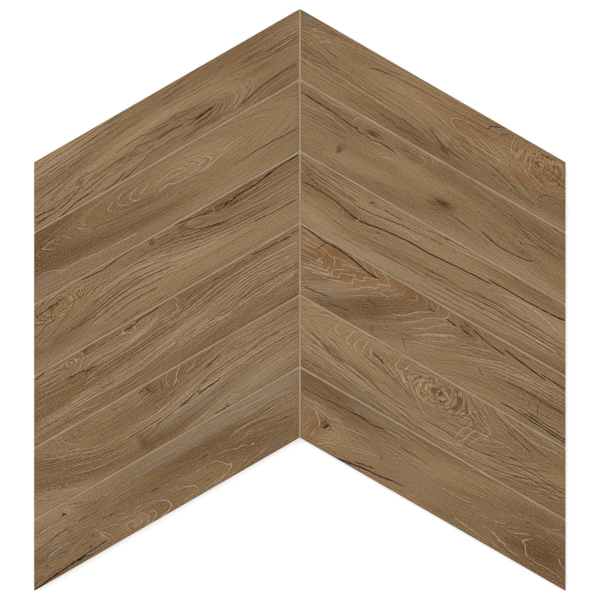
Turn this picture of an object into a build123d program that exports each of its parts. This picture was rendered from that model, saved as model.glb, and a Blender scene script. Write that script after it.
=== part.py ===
from build123d import *
from math import cos, floor, radians, tan
import os

# A chevron sheet of wood-look porcelain: planks with mitred ends in two mirrored columns,
# grout in the joints between them, and a glass-fibre net that carries them from behind.
# The sheet lies face up. X runs across it, Y along the centre joint towards the point of
# the chevron, and Z up. The origin is the centre of the bottom of its bounding box.

# Layout of the planks
ROWS = 6                    # planks in each column
SLOPE = 30.0                # degrees that a plank falls from the centre joint to the side
PLANK_WIDTH = 42.8          # square across the plank
PLANK_LENGTH = 217.2        # along a long edge, from mitre to mitre
PLANK_THICKNESS = 8.0
EDGE_BEVEL = 0.5            # ground along the four upper edges

# Moulded keying grooves, which run along the back of every plank
KEY_PITCH = 7.0
KEY_WIDTH = 3.5
KEY_DEPTH = 0.6
KEY_MARGIN = 1.5            # least land between an outer groove and a long edge

# Joints
JOINT = 1.4                 # square across a joint
GROUT_RECESS = 0.7          # from the faces of the planks down to the edge of the grout
GROUT_DISH = 0.15           # depth of the tooled hollow along the middle of a joint

# Backing net, drawn as a plain sheet
NET_THICKNESS = 0.4
NET_INSET = 2.5             # from the outline of the sheet in to the edge of the net

# Sizes that follow from the layout
slope_cos = cos(radians(SLOPE))
slope_tan = tan(radians(SLOPE))
reach = PLANK_LENGTH * slope_cos
mitre_height = PLANK_WIDTH / slope_cos
joint_height = JOINT / slope_cos
row_pitch = mitre_height + joint_height
half_sheet = JOINT / 2 + reach
side_height = ROWS * row_pitch - joint_height
point_y = (side_height + half_sheet * slope_tan) / 2
plank_bottom = NET_THICKNESS
plank_top = plank_bottom + PLANK_THICKNESS


def fall(x):
    """How far a slanting edge has come down from the centre line at x."""
    return abs(x) * slope_tan


def row_top(row):
    """Height in Y of the upper edge of a row, run on to the centre line."""
    return point_y - row * row_pitch


def slanted_outline(side, start, end, top, height):
    """A parallelogram with upright ends, on the side +1 or -1 of the centre line."""
    corners = [
        (side * start, top - fall(start)),
        (side * end, top - fall(end)),
        (side * end, top - fall(end) - height),
        (side * start, top - fall(start) - height),
    ]
    return make_face(Polyline(*corners, close=True))


def along_slope(side, x, y, z):
    """A place on the sheet whose own X axis points down the slope of that side's planks."""
    return Location((side * x, y, z), (0, 0, -side * SLOPE))


def plank_outline(side, row):
    return slanted_outline(side, JOINT / 2, half_sheet, row_top(row), mitre_height)


def key_grooves(side, row):
    """The grooves under one plank, open at both mitred ends."""
    count = floor((PLANK_WIDTH - 2 * KEY_MARGIN - KEY_WIDTH) / KEY_PITCH) + 1
    middle_x = (JOINT / 2 + half_sheet) / 2
    middle_y = row_top(row) - fall(middle_x) - mitre_height / 2
    groove_length = PLANK_LENGTH + 2 * PLANK_WIDTH
    cutter = Box(groove_length, KEY_WIDTH, 2 * KEY_DEPTH)
    spread = GridLocations(0, KEY_PITCH, 1, count)
    place = along_slope(side, middle_x, middle_y, plank_bottom)
    return [place * spot * cutter for spot in spread]


def plank(side, row):
    body = extrude(Pos(0, 0, plank_bottom) * plank_outline(side, row), PLANK_THICKNESS)
    body -= key_grooves(side, row)
    face_edges = body.faces().sort_by(Axis.Z)[-1].edges()
    return chamfer(face_edges, EDGE_BEVEL)


def sheet_outline():
    return make_face(
        Polyline(
            (0, point_y),
            (half_sheet, point_y - fall(half_sheet)),
            (half_sheet, point_y - fall(half_sheet) - side_height),
            (0, point_y - side_height),
            (-half_sheet, point_y - fall(half_sheet) - side_height),
            (-half_sheet, point_y - fall(half_sheet)),
            close=True,
        )
    )


def tooling_rods():
    """Long rods that hollow the grout along each joint, as a rounded trowel does."""
    radius = (JOINT**2 / 4 + GROUT_DISH**2) / (2 * GROUT_DISH)
    height = plank_top - GROUT_RECESS + radius - GROUT_DISH
    lying = Rot(0, 90, 0) * Cylinder(radius, 2 * PLANK_LENGTH)
    rods = [Pos(0, 0, height) * Rot(0, 0, 90) * lying]
    rod_reach = half_sheet + JOINT
    slanting = Rot(0, 90, 0) * Cylinder(radius, rod_reach / slope_cos)
    for side in (-1, 1):
        for row in range(1, ROWS):
            middle_y = row_top(row) + joint_height / 2 - fall(rod_reach / 2)
            rods.append(along_slope(side, rod_reach / 2, middle_y, height) * slanting)
    return rods


def grout():
    """One web: the centre joint with a slanting joint between every two rows."""
    planks = [plank_outline(side, row) for side in (-1, 1) for row in range(ROWS)]
    web = sheet_outline() - planks
    depth = PLANK_THICKNESS - GROUT_RECESS
    body = extrude(Pos(0, 0, plank_bottom) * web, depth)
    return body - tooling_rods()


def backing_net():
    return extrude(offset(sheet_outline(), -NET_INSET, kind=Kind.INTERSECTION), NET_THICKNESS)


os.makedirs("parts", exist_ok=True)
for side, column in ((-1, "left"), (1, "right")):
    for row in range(ROWS):
        export_step(plank(side, row), f"parts/plank_{column}_{row + 1}.step")
export_step(grout(), "parts/grout.step")
export_step(backing_net(), "parts/backing_net.step")
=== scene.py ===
from math import cos, floor, radians, tan

import bpy
import numpy as np
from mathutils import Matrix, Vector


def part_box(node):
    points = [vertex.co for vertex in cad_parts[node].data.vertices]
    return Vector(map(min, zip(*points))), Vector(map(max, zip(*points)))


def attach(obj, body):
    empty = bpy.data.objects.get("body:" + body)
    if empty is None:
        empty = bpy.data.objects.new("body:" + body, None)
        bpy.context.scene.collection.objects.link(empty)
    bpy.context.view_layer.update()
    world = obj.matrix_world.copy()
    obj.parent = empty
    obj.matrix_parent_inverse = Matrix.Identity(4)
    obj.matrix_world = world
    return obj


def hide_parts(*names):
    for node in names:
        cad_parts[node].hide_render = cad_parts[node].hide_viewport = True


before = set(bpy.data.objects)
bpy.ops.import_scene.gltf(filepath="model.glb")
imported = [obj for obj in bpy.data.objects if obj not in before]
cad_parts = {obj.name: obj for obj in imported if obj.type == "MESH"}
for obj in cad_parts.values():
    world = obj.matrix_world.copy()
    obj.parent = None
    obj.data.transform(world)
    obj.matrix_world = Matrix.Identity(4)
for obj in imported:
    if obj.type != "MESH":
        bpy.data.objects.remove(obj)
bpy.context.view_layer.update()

# Scene lengths are metres. The planks, their grain and its marks are laid out in millimetres,
# and MM turns those into metres.
MM = 0.001

# Sizes of the sheet, the same as in its solids
ROWS = 6
SLOPE = radians(30)
PLANK_WIDTH = 42.8
PLANK_LENGTH = 217.2
EDGE_BEVEL = 0.5
KEY_PITCH = 7.0
KEY_WIDTH = 3.5
KEY_DEPTH = 0.6
KEY_MARGIN = 1.5
JOINT = 1.4
NET_INSET = 2.5

# Sizes that follow from them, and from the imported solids
reach = PLANK_LENGTH * cos(SLOPE)
half_sheet = JOINT / 2 + reach
mitre_height = PLANK_WIDTH / cos(SLOPE)
row_pitch = (PLANK_WIDTH + JOINT) / cos(SLOPE)
side_height = ROWS * row_pitch - JOINT / cos(SLOPE)
point_y = (side_height + half_sheet * tan(SLOPE)) / 2
bevel_s = EDGE_BEVEL / cos(SLOPE) / PLANK_LENGTH
bevel_t = EDGE_BEVEL / PLANK_WIDTH
plank_low, plank_high = (corner.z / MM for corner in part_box("plank_left_1"))
net_low, net_high = (corner.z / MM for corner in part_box("backing_net"))

# Net: strands both ways, woven over and under each other
NET_PITCH = 5.0
STRAND_WIDTH = 1.1
STRAND_THICKNESS = 0.16
net_middle = (net_low + net_high) / 2
net_lift = (net_high - net_low - STRAND_THICKNESS) / 2

# Cells of the relief on the face of a plank
CELLS_ALONG = 300
CELLS_ACROSS = 106

# Relief pressed into a face. A slope is given as two distances from the line: where the ground
# begins to rise, and where it is level again.
CRACK_DEPTH = 0.30          # for each millimetre of width beyond PRINTED_CRACK
CRACK_SLOPE = (0.1, 0.6)
PRINTED_CRACK = 0.5         # cracks up to this width are printed only
RING_DEPTH = 0.06
RING_SLOPE = (0.2, 0.9)
FIBRE_DEPTH = 0.03
FIBRE_REACH = (60, 1.2)     # along and across the plank
FIBRE_NOISE = 8             # number of the noise that makes the fibres

# Paths that are given as points
END_WIDTH = 0.7             # share of its width that a crack or pale line keeps at its ends
LINE_TAPER = 3.0            # length over which it gets there
LINE_MARGIN = 3.0           # distance to which a line is felt
FAR_AWAY = 9.0              # distance that is noted where no line is near
HEART_SPAN = (-40.0, 300.0)  # the line of the pith is followed well past the ends of a plank
HEART_ROUNDING = 21         # window in which it is smoothed

# Unevenness of the wood, in layers: (push, reach along, reach across, number of the noise)
HEART_WAVES = [(1.3, 45, 1.8, 0), (0.5, 14, 0.7, 1)]
GRAIN_WAVES_U = [(0.6, 9, 5, 9)]
GRAIN_WAVES_V = [(0.6, 42, 9, 2), (0.12, 13, 4, 3)]
RING_WAVES = [(0.5, 1.7, 1, 4)]
MARK_WAVES_U = [(0.3, 5, 5, 5)]
MARK_WAVES_V = [(0.15, 6, 4, 6), (0.12, 1.8, 1.5, 7)]
SEED_STEP = 100             # from the first noise of a plank to that of the next one

# Rings on the face
SWELL_ON_FIBRE = 0.6        # share of a swell that the fibres follow
RISE_STEP = 0.4             # step over which the rise of the rings is measured
LEAST_RISE = 0.03           # keeps the rings from growing endlessly wide
STEEP = (0.15, 0.7)         # rises between which the lines along the rings reach full strength
KNOT_DARK = (0.2, 1.0)      # share of the way into a knot where its darkness begins and is full

# Painted shade and light on the bevels: painted shade along the outline of the sheet, and painted light
# along the joints that offsets the shade of the bevels and the recess there
OUTER_BEVEL_SHADE = 1.0            # along the outline of the sheet, where they are dark
JOINT_BEVEL_LIGHT = -0.25          # along the joints, where they are pale

# Camera: it looks straight down, and its picture is this wide at the faces of the planks
VIEW_WIDTH = 426.1
AIM = (0.12, -0.08)         # where the camera stands over the sheet
LENS = 100
SENSOR = 36

# Floor and lights, in metres and watts
FLOOR_SIZE = 6.0            # from the middle of the floor to each edge
FLOOR_DROP = 0.0002         # from the underside of the sheet down to the floor
FLOOR_GLOW = 0.42           # white added to what the camera and the gloss see of the floor
WORLD_LIGHT = 0.55          # strength of the white surroundings, which the camera sees as 1
LAMPS = {
    "key": dict(place=(-0.6, 0.5, 1.55), size=1.2, power=9.5),
    "fill": dict(place=(0.8, -0.5, 1.4), size=1.4, power=4.5),
}

# Kinds of mesh face, by the side of a plank that they belong to
FACE, BEVEL, SIDE, END, BACK = range(5)

# The picture that the materials are baked to. Each kind has a band of it, in the order of the
# kinds: from low to high, as shares of its height. The two mitred ends lie side by side.
MAP_BANDS = [(0.26, 1.0), (0.26, 1.0), (0.19, 0.24), (0.11, 0.16), (0.0, 0.09)]
MAP_END_LENGTH = 0.48
MAP_END_SHIFT = 0.51

# Colours of the printed glaze, from the darkest line to the palest fibre
WOOD = [
    (0.00, (64, 38, 12)),
    (0.22, (97, 67, 31)),
    (0.42, (122, 90, 52)),
    (0.56, (138, 105, 68)),
    (0.74, (157, 127, 90)),
    (1.00, (184, 156, 121)),
]
WARM = (142, 97, 51)
GREY = (138, 128, 116)
LIMED = (198, 179, 153)
LIMED_THIN = (174, 150, 121)
CRACK = (18, 15, 17)
VEIN = (88, 62, 36)
KNOT = (74, 54, 38)

# The print where no layer acts on it, as a place in WOOD, and how much each layer lightens it,
# or darkens it where the number is negative
MIDDLE_TONE = 0.56
TONE_STRENGTH = 0.5
LAYERS = dict(
    clouds=0.68,
    bands=0.05,
    lines=0.14,
    fine=0.66,
    dashes=0.60,
    specks=1.3,
    flecks=0.10,
    rings=-0.50,
    ring_shine=0.26,
    # edge: painted shade on the bevels along the outline of the sheet, painted light on those along the
    # joints
    edge=-0.35,
    shade=-0.08,
    glint=0.08,
)

# Printed lines: half of what is printed, for each millimetre of the width that a line is given,
# and the strip beside it that is shaded or glints, as (start, full, fade, end) in millimetres
LIMED_HALF = 0.25
CRACK_HALF = 0.40
BESIDE = (0.2, 0.5, 0.8, 1.7)

# Plain materials. Each noise is (scale, detail, roughness, share of the colour), and the last
# one is also in the gloss, as (least roughness, more), and in the bump, as (height, strength).
PLAIN = {
    "porcelain_body": dict(
        noises=[(90.0, 3, 0.6, 0.5), (1800.0, 2, 0.6, 0.5)],
        colours=[(0.30, (120, 100, 80)), (0.50, (150, 129, 105)), (0.72, (178, 158, 134))],
        gloss=(0.72, 0.2),
        bump=(0.0001, 0.5),
    ),
    "sanded_grout": dict(
        noises=[(60.0, 2, 0.5, 0.35), (2600.0, 2, 0.7, 0.65)],
        colours=[(0.28, (146, 124, 98)), (0.50, (176, 155, 129)), (0.74, (198, 180, 156))],
        gloss=(0.80, 0.15),
        bump=(0.00025, 0.8),
    ),
    "net_strands": dict(
        noises=[(2500.0, 2, 0.6, 1.0)],
        colours=[(0.3, (190, 190, 184)), (0.7, (226, 226, 220))],
        gloss=(0.42, 0.25),
        bump=(0.00008, 0.6),
    ),
}

# Figure of each plank.
# u runs along a plank from the upper corner at the centre joint, and v across it from its
# upper long edge, both in millimetres.
#   heart:   (u, v, depth, lift) of the pith under the face. Rings are cut where they reach
#            the face, and the lift, which may be left out, adds slant to them.
#   ring:    spacing of the rings
#   figure:  strength of the ring lines
#   tone:    how much paler the whole plank is
#   lined:   (u, v, length, width, more), patches with stronger ring lines, or weaker ones
#            where more is negative
#   swells:  (u, v, length, width, rise), smooth hills in the rings
#   knots:   (u, v, length, width, rings, darkness)
#   cracks:  (width, point, point, ...), thin dark lines, black where they are wide
#   limed:   (width, point, point, ...), thin pale lines
#   stains:  (u, v, length, width, tone, warmth, lime), soft patches
PLANKS = {}
PLANKS["plank_left_1"] = dict(
    ring=2.0,
    figure=0.25,
    tone=0.17,
    heart=[(0, 23, 15), (50, 26, 14), (86, 31, 2), (150, 34, 1.5), (240, 42, 2)],
    lined=[(185, 7, 55, 7, 0.9), (66, 30, 15, 9, 0.6), (20, 16, 30, 6, 0.4), (200, 34, 40, 8, 0.4)],
    knots=[(196, 29, 4, 2, 2, 0.6)],
    cracks=[
        (0.9, (110, 32), (90, 30), (87, 29.5), (85, 28.4)),
        (0.9, (106, 34.5), (98, 33.5), (95, 33.6), (89, 32)), (0.6, (110, 27.4), (102, 30.1), (88, 29)),
        (0.6, (118, 21.5), (110, 21.5), (105, 22.5), (94, 23.3)),
        (0.5, (116, 23), (94, 25.7), (90, 25.7)), (0.9, (118, 29.3), (112.3, 29.5)),
        (0.5, (118, 38), (112, 38), (106, 37.2), (90, 36), (84, 33), (80, 30.5), (80, 29), (81, 28)),
        (0.5, (118, 40), (104, 38.3), (90, 37.7), (84, 36.5), (76, 33.5), (73.6, 30), (75, 28.5)),
        (0.5, (95, 39.3), (82, 38), (70, 34.3), (67, 31), (68, 29)),
        (0.5, (82, 39.3), (70, 37.8), (62, 34.5), (59.5, 33), (59, 31.5), (59.5, 29.5), (57, 28.5)),
        (0.6, (68, 38), (52, 34), (34, 32.2), (20, 32.5)),
        (0.5, (72, 39.5), (50, 34.7), (35, 33.5), (21, 33.5)),
        (0.4, (68, 40.5), (46, 36.3), (38, 35.5), (22, 35.5)),
        (0.5, (58, 42.3), (53, 42), (40, 40), (24, 39.3)), (0.5, (52, 11), (34, 12.5), (8, 13.5)),
        (0.6, (55, 13), (37, 13.7), (32, 14.5), (9, 15.5)),
        (0.4, (41, 15.5), (34, 16), (28, 17), (10, 17.3)),
        (0.6, (54, 16), (46, 16.5), (31, 18.5), (11, 19)), (0.5, (118, 4), (98, 2.7), (84, 0.5)),
        (0.6, (118, 7.3), (97, 5.8)), (0.4, (118, 10.7), (88, 12.5)),
        (0.5, (118, 14), (97, 14.5), (88, 14.3), (80, 15)),
        (0.9, (237, 35), (233, 34.5), (221, 35.7), (217, 35)), (0.6, (217, 35), (202.3, 31.5)),
        (0.7, (238, 37.4), (235, 38.2), (226, 38.5), (217, 38), (196, 31.6)),
        (0.7, (239, 39.2), (230, 39.2)), (0.9, (222, 42.7), (217, 42.3), (205, 39.5), (189, 38.5)),
        (0.6, (189, 38.5), (186, 37), (176, 35.5), (162, 35)),
        (0.9, (185, 42.7), (175, 41.5), (164, 38.4)), (0.8, (170, 42.7), (155.2, 39.7)),
        (0.6, (155, 39.5), (150, 38.4), (145, 36), (140, 35.3), (135, 35.5), (128, 35), (114, 35)),
        (0.6, (196.7, 35.5), (177, 33)),
        (0.6, (171, 33.5), (164, 33.5), (152, 32), (147, 32.5), (136, 31.5)),
        (0.5, (190, 31.8), (172.6, 29.8), (153.3, 30.3), (150, 29.5)), (0.5, (191, 30.5), (181, 29)),
        (0.6, (171, 28.7), (154, 28.5), (148, 26.8), (145, 27.5), (135, 28.7), (118, 28.3)),
        (0.6, (134, 30.3), (118, 29.3)),
        (0.6, (164, 23), (145.9, 21.9), (141.6, 21.9), (135.4, 23.6), (118, 24.7)),
        (0.6, (232, 26.5), (223, 24.5), (210, 22.8), (195, 20)), (0.6, (218, 26.8), (196, 22.7)),
        (0.6, (221, 29.5), (212, 27.2), (207, 26.5)),
        (0.6, (200, 29), (198, 27.5), (191, 25.5), (188.4, 25.3), (187.4, 26.5)),
        (0.4, (187, 26.8), (171, 26)), (0.5, (232.7, 31.5), (225.3, 29)),
        (0.5, (223, 12.5), (214, 12.2), (207, 11.3), (180, 9.8), (152, 8.5)),
        (0.4, (224.6, 14.5), (199, 12.8)), (0.5, (222, 9.5), (205, 9), (189, 7.2), (150, 5)),
        (0.4, (220, 5.5), (145, 1.2)),
    ],
    limed=[
        (0.6, (220, 6.5), (152, 2.5)), (0.5, (221, 9), (192, 6.2), (174, 5.8)),
        (0.5, (222, 13.5), (182, 11.5)), (0.5, (52, 10.2), (34, 11.5), (8, 12.5)),
        (0.5, (50, 26.8), (28, 27.5), (18, 27.3)), (0.5, (64, 29.5), (62.6, 27), (66, 25.5), (78, 24)),
    ],
    stains=[
        (127, 23, 14, 2, -0.32, 0, 0), (104, 23.6, 12, 1.6, -0.22, 0, 0),
        (194, 20, 16, 2.4, -0.22, -0.3, 0), (218, 22, 12, 4, 0, -0.5, 0), (96, 32, 14, 4, -0.16, 0.2, 0),
        (195.8, 29.3, 2.4, 1.7, -0.30, 1.0, 0), (57, 29, 8, 3, 0.14, 0, 0), (90, 18, 30, 2.6, 0.14, 0, 0),
        (60, 6, 60, 6, 0.06, 0, 0), (150, 14, 34, 5, 0.06, 0.1, 0), (46, 22.6, 12, 1.6, -0.26, 0.1, 0),
        (64, 15.4, 7, 1.8, -0.20, 0.1, 0), (72, 30, 12, 3, -0.08, 0.1, 0),
    ],
)
PLANKS["plank_left_2"] = dict(
    ring=1.25,
    figure=0.12,
    tone=-0.05,
    heart=[(0, 14, 18), (69, 13.4, 7), (111, 12.4, 0.7), (160, 12.4, 7.5), (240, 12.5, 20)],
    lined=[(170, 5, 50, 5, 0.2), (90, 21, 40, 4, 0.3)],
    cracks=[
        (0.8, (56, 27.8), (46, 27.5), (17, 28.5)), (0.6, (72, 28.5), (54.4, 27.8)),
        (0.4, (91.6, 29), (72.4, 28.7)),
        (0.5, (224, 12.5), (220, 10.7), (215, 9.5), (207, 8.9), (199, 6.7), (189, 5.5)),
        (0.4, (217, 7.3), (212, 5.8), (186, 1.5)), (0.4, (180, 17.5), (172, 18), (164, 19.5), (146, 21)),
        (0.6, (116, 16.5), (113, 16), (111, 16.6)), (0.5, (96, 10), (92, 12.5), (91, 14.5)),
        (0.5, (88.6, 11), (85, 13.5), (83.4, 16.5), (86, 18.2), (92, 19.5)),
    ],
    limed=[
        (0.9, (123, 12.5), (120, 11.5), (114, 10.7), (107, 10.4), (100.5, 13), (105, 14.3),
         (120.5, 13.2), (122.6, 12.5)),
        (0.9, (129, 19), (121, 18), (118, 17), (115, 17.5), (114, 18.7), (109, 19), (97, 18), (93, 17.5),
         (91.6, 16.3), (89.5, 15.5), (91, 12.5), (94, 10.5)),
        (0.8, (131, 16.5), (128.6, 16.8), (127.6, 16)),
        (0.9, (87, 11.5), (82.6, 14.2), (81.7, 15.7), (80.4, 16), (82.6, 17.7), (89, 19.5)),
        (0.9, (75, 12.5), (72.4, 13.7), (70, 15.2), (65, 14), (55, 13.7)),
        (0.8, (70, 15.4), (76, 18.7), (90, 21), (96, 20.5)), (0.5, (64, 17), (57, 16)),
        (0.5, (76, 22), (68, 20.3), (54, 19)), (0.6, (69, 0.5), (64, 1.5), (54, 4.5)),
        (0.5, (79, 1), (71, 1.5), (58, 5)), (0.8, (222, 16), (223, 14), (220, 11.5)),
        (0.8, (210, 16.5), (216.3, 13), (216, 12), (202, 9.8)), (0.9, (208.2, 12), (208.6, 13)),
        (0.9, (207, 13.8), (205.4, 14.5), (205, 15.5)),
        (0.8, (201, 10.5), (199.2, 11), (199, 12.5), (195, 16)),
        (0.7, (196, 10), (196, 11.5), (195, 12.6)), (0.9, (189.3, 10), (187, 13.2), (184, 15)),
        (0.8, (180, 9), (182.5, 9.5), (183.7, 10.5), (183, 12), (181, 13)),
        (0.8, (169, 10), (170.4, 10.5), (170.4, 12), (170, 12.5)),
        (0.8, (156, 8.2), (162, 10.4), (163, 12), (160, 14)),
        (0.9, (148, 6), (154, 9.5), (154.3, 12.3), (148, 16)),
        (1, (137, 8.5), (143, 10), (145.7, 12.5), (143, 15), (139, 16.5)),
        (0.9, (128, 9.8), (137, 12.9), (136, 13.2)),
        (0.8, (231, 28), (226, 27.5), (218.4, 29), (214, 31.8), (209, 32), (196, 32.7), (183, 34.3),
         (152, 36)),
        (0.7, (218, 31.8), (213, 33.5), (211, 33)),
    ],
    stains=[
        (165, 12.5, 50, 5, -0.06, 0.4, 0), (110, 12.5, 14, 4, -0.10, 0.4, 0),
        (140, 21, 30, 4, -0.28, 0, 0), (125, 32, 36, 3, -0.22, 0.1, 0), (180, 38, 60, 8, 0.12, -0.2, 0.0),
        (225, 31, 12, 4, 0.1, -0.7, 0.0), (40, 36, 50, 8, 0.08, 0, 0), (45, 22, 44, 5, 0.05, 0.1, 0),
    ],
)
PLANKS["plank_left_3"] = dict(
    ring=1.9,
    figure=0.25,
    tone=0.08,
    heart=[(0, -40, 0), (110, -42, 0), (240, -41, 0)],
    swells=[(158, 14, 52, 17, 9), (30, 18, 60, 14, -4)],
    lined=[(120, 16, 60, 10, 0.9), (30, 20, 36, 8, 0.4), (205, 8, 18, 8, 0.3)],
    knots=[(67.5, 4.6, 8, 3, 2, 0.5), (206, 6.6, 24, 9, 2, 0.1), (122, 2, 4, 2.4, 1, 0.3)],
    cracks=[
        (0.9, (1, 1), (19, 1.5), (22, 2), (29, 2)),
        (0.9, (23, 2.5), (40, 3.9), (54.4, 4.3), (55.6, 5.2), (64, 5)), (0.6, (64, 5), (67, 3), (75, 4)),
        (0.8, (61, 5), (67, 7), (76, 4.7), (105, -0.5)), (0.5, (104.8, 4.2), (94, 3)),
        (0.5, (118, 3.3), (108, 4)),
        (0.7, (95.2, 4.5), (94.6, 7), (93, 8.8), (84, 12.5), (70, 15.5), (64, 16)),
        (0.6, (118, 7), (114, 8), (104, 8.8), (93, 12.5), (75, 15.5), (67, 18)),
        (0.5, (118, 10), (106, 11.5), (94, 15), (68, 19), (46, 19.7)),
        (0.6, (118, 12.5), (106, 14.5), (88, 18.5), (81, 19), (64, 21.3), (37, 22)),
        (0.5, (118, 14.5), (112, 15.5), (98, 19), (84, 21)), (0.5, (118, 17.2), (93, 22.3)),
        (0.5, (80.8, 25), (53.2, 26)), (0.8, (53, 26), (34, 27.5), (18, 27.8)),
        (0.4, (118, 30), (103, 30.7), (61, 30.7), (52, 31.3)), (0.4, (59, 8), (22, 5.8)),
        (0.5, (60, 11), (6, 10)), (0.9, (38.6, 6.8), (38, 7.2)),
        (0.9, (179, 1), (161, 2.2), (149, 0.8), (130, -0.3)),
        (0.9, (221, 8), (208, 6.5), (206, 6.1), (204, 6.5), (195, 5.5)),
        (0.6, (206.4, 6.5), (206.2, 8.5), (210.4, 12.5), (217, 14), (223, 13.5)),
        (0.7, (229, 20), (222, 19), (217, 16.5), (208, 15.5)), (0.7, (227, 22.8), (223, 22)),
        (0.5, (227, 26.8), (214, 23), (198.6, 16.5), (195.5, 14.5), (190, 12.5)),
        (0.5, (197, 11.5), (183, 10.7), (155, 11), (137, 10.5), (118, 12)),
        (0.5, (164, 7.5), (155.2, 7.9), (133.5, 7.3), (127.9, 6.7), (118, 9)),
        (0.6, (187, 20.3), (178, 18.5), (174, 18.5), (164, 17.5), (146, 15), (130, 16.5), (118, 17)),
        (0.4, (199, 22.2), (186, 21.5), (176, 19.5)),
        (0.5, (205, 28), (174, 23.5), (168, 22), (152, 19.7), (134, 20), (118, 21.3)),
        (0.6, (199, 29), (180, 26.7), (164, 24), (143, 22.5), (118, 23.7)),
        (0.5, (189, 31.5), (158, 27.2), (137, 28), (118, 28.5)),
        (0.6, (179, 34), (174, 34), (152, 31.5), (134, 32.5)), (0.5, (186, 42.5), (161, 41), (134, 40.2)),
    ],
    limed=[
        (0.7, (118, 20.2), (100, 23), (52, 25.5), (28, 26.5)), (0.7, (106, 26.2), (91, 27), (86, 27)),
        (0.6, (187, 29), (168, 26), (149, 24), (118, 25)), (0.7, (189, 32.5), (155, 27.8), (127, 28.5)),
        (0.6, (180, 41.5), (155, 40), (143, 39.7)), (0.6, (215, 39), (186.2, 36.8)),
        (0.7, (40.3, 4.5), (39, 6.4)), (0.5, (60, 10.3), (10, 9.3)),
        (0.5, (164, 10), (150, 10), (138, 9.5), (128, 10)), (0.5, (152, 13.8), (140, 14), (128, 15)),
    ],
    stains=[
        (184, 31.5, 12, 3, 0.20, -0.4, 0), (225, 27.5, 6, 3, 0.24, -0.4, 0),
        (200, 8, 18, 6, -0.06, 0.5, 0), (198, 16, 5, 1.6, 0, 0.9, 0), (59, 6, 6, 3, -0.36, 0.1, 0),
        (97.6, 4.6, 3, 3, -0.34, 0.2, 0), (91.6, 4.6, 4, 2.6, 0.22, 0, 0), (78, 9, 9, 2.4, 0.10, 0.1, 0),
        (82, 7, 3, 1, -0.24, 0.1, 0), (67, 4.9, 3, 1.6, -0.10, 0.2, 0), (122, 2, 1.6, 2.4, -0.55, 0, 0),
        (42, 1, 4, 1.4, -0.3, 0.3, 0), (20, 14, 30, 8, 0.0, 0.2, 0), (110, 33, 60, 3, -0.12, 0.1, 0),
        (150, 36, 18, 3, 0.10, -0.1, 0),
    ],
)
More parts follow.
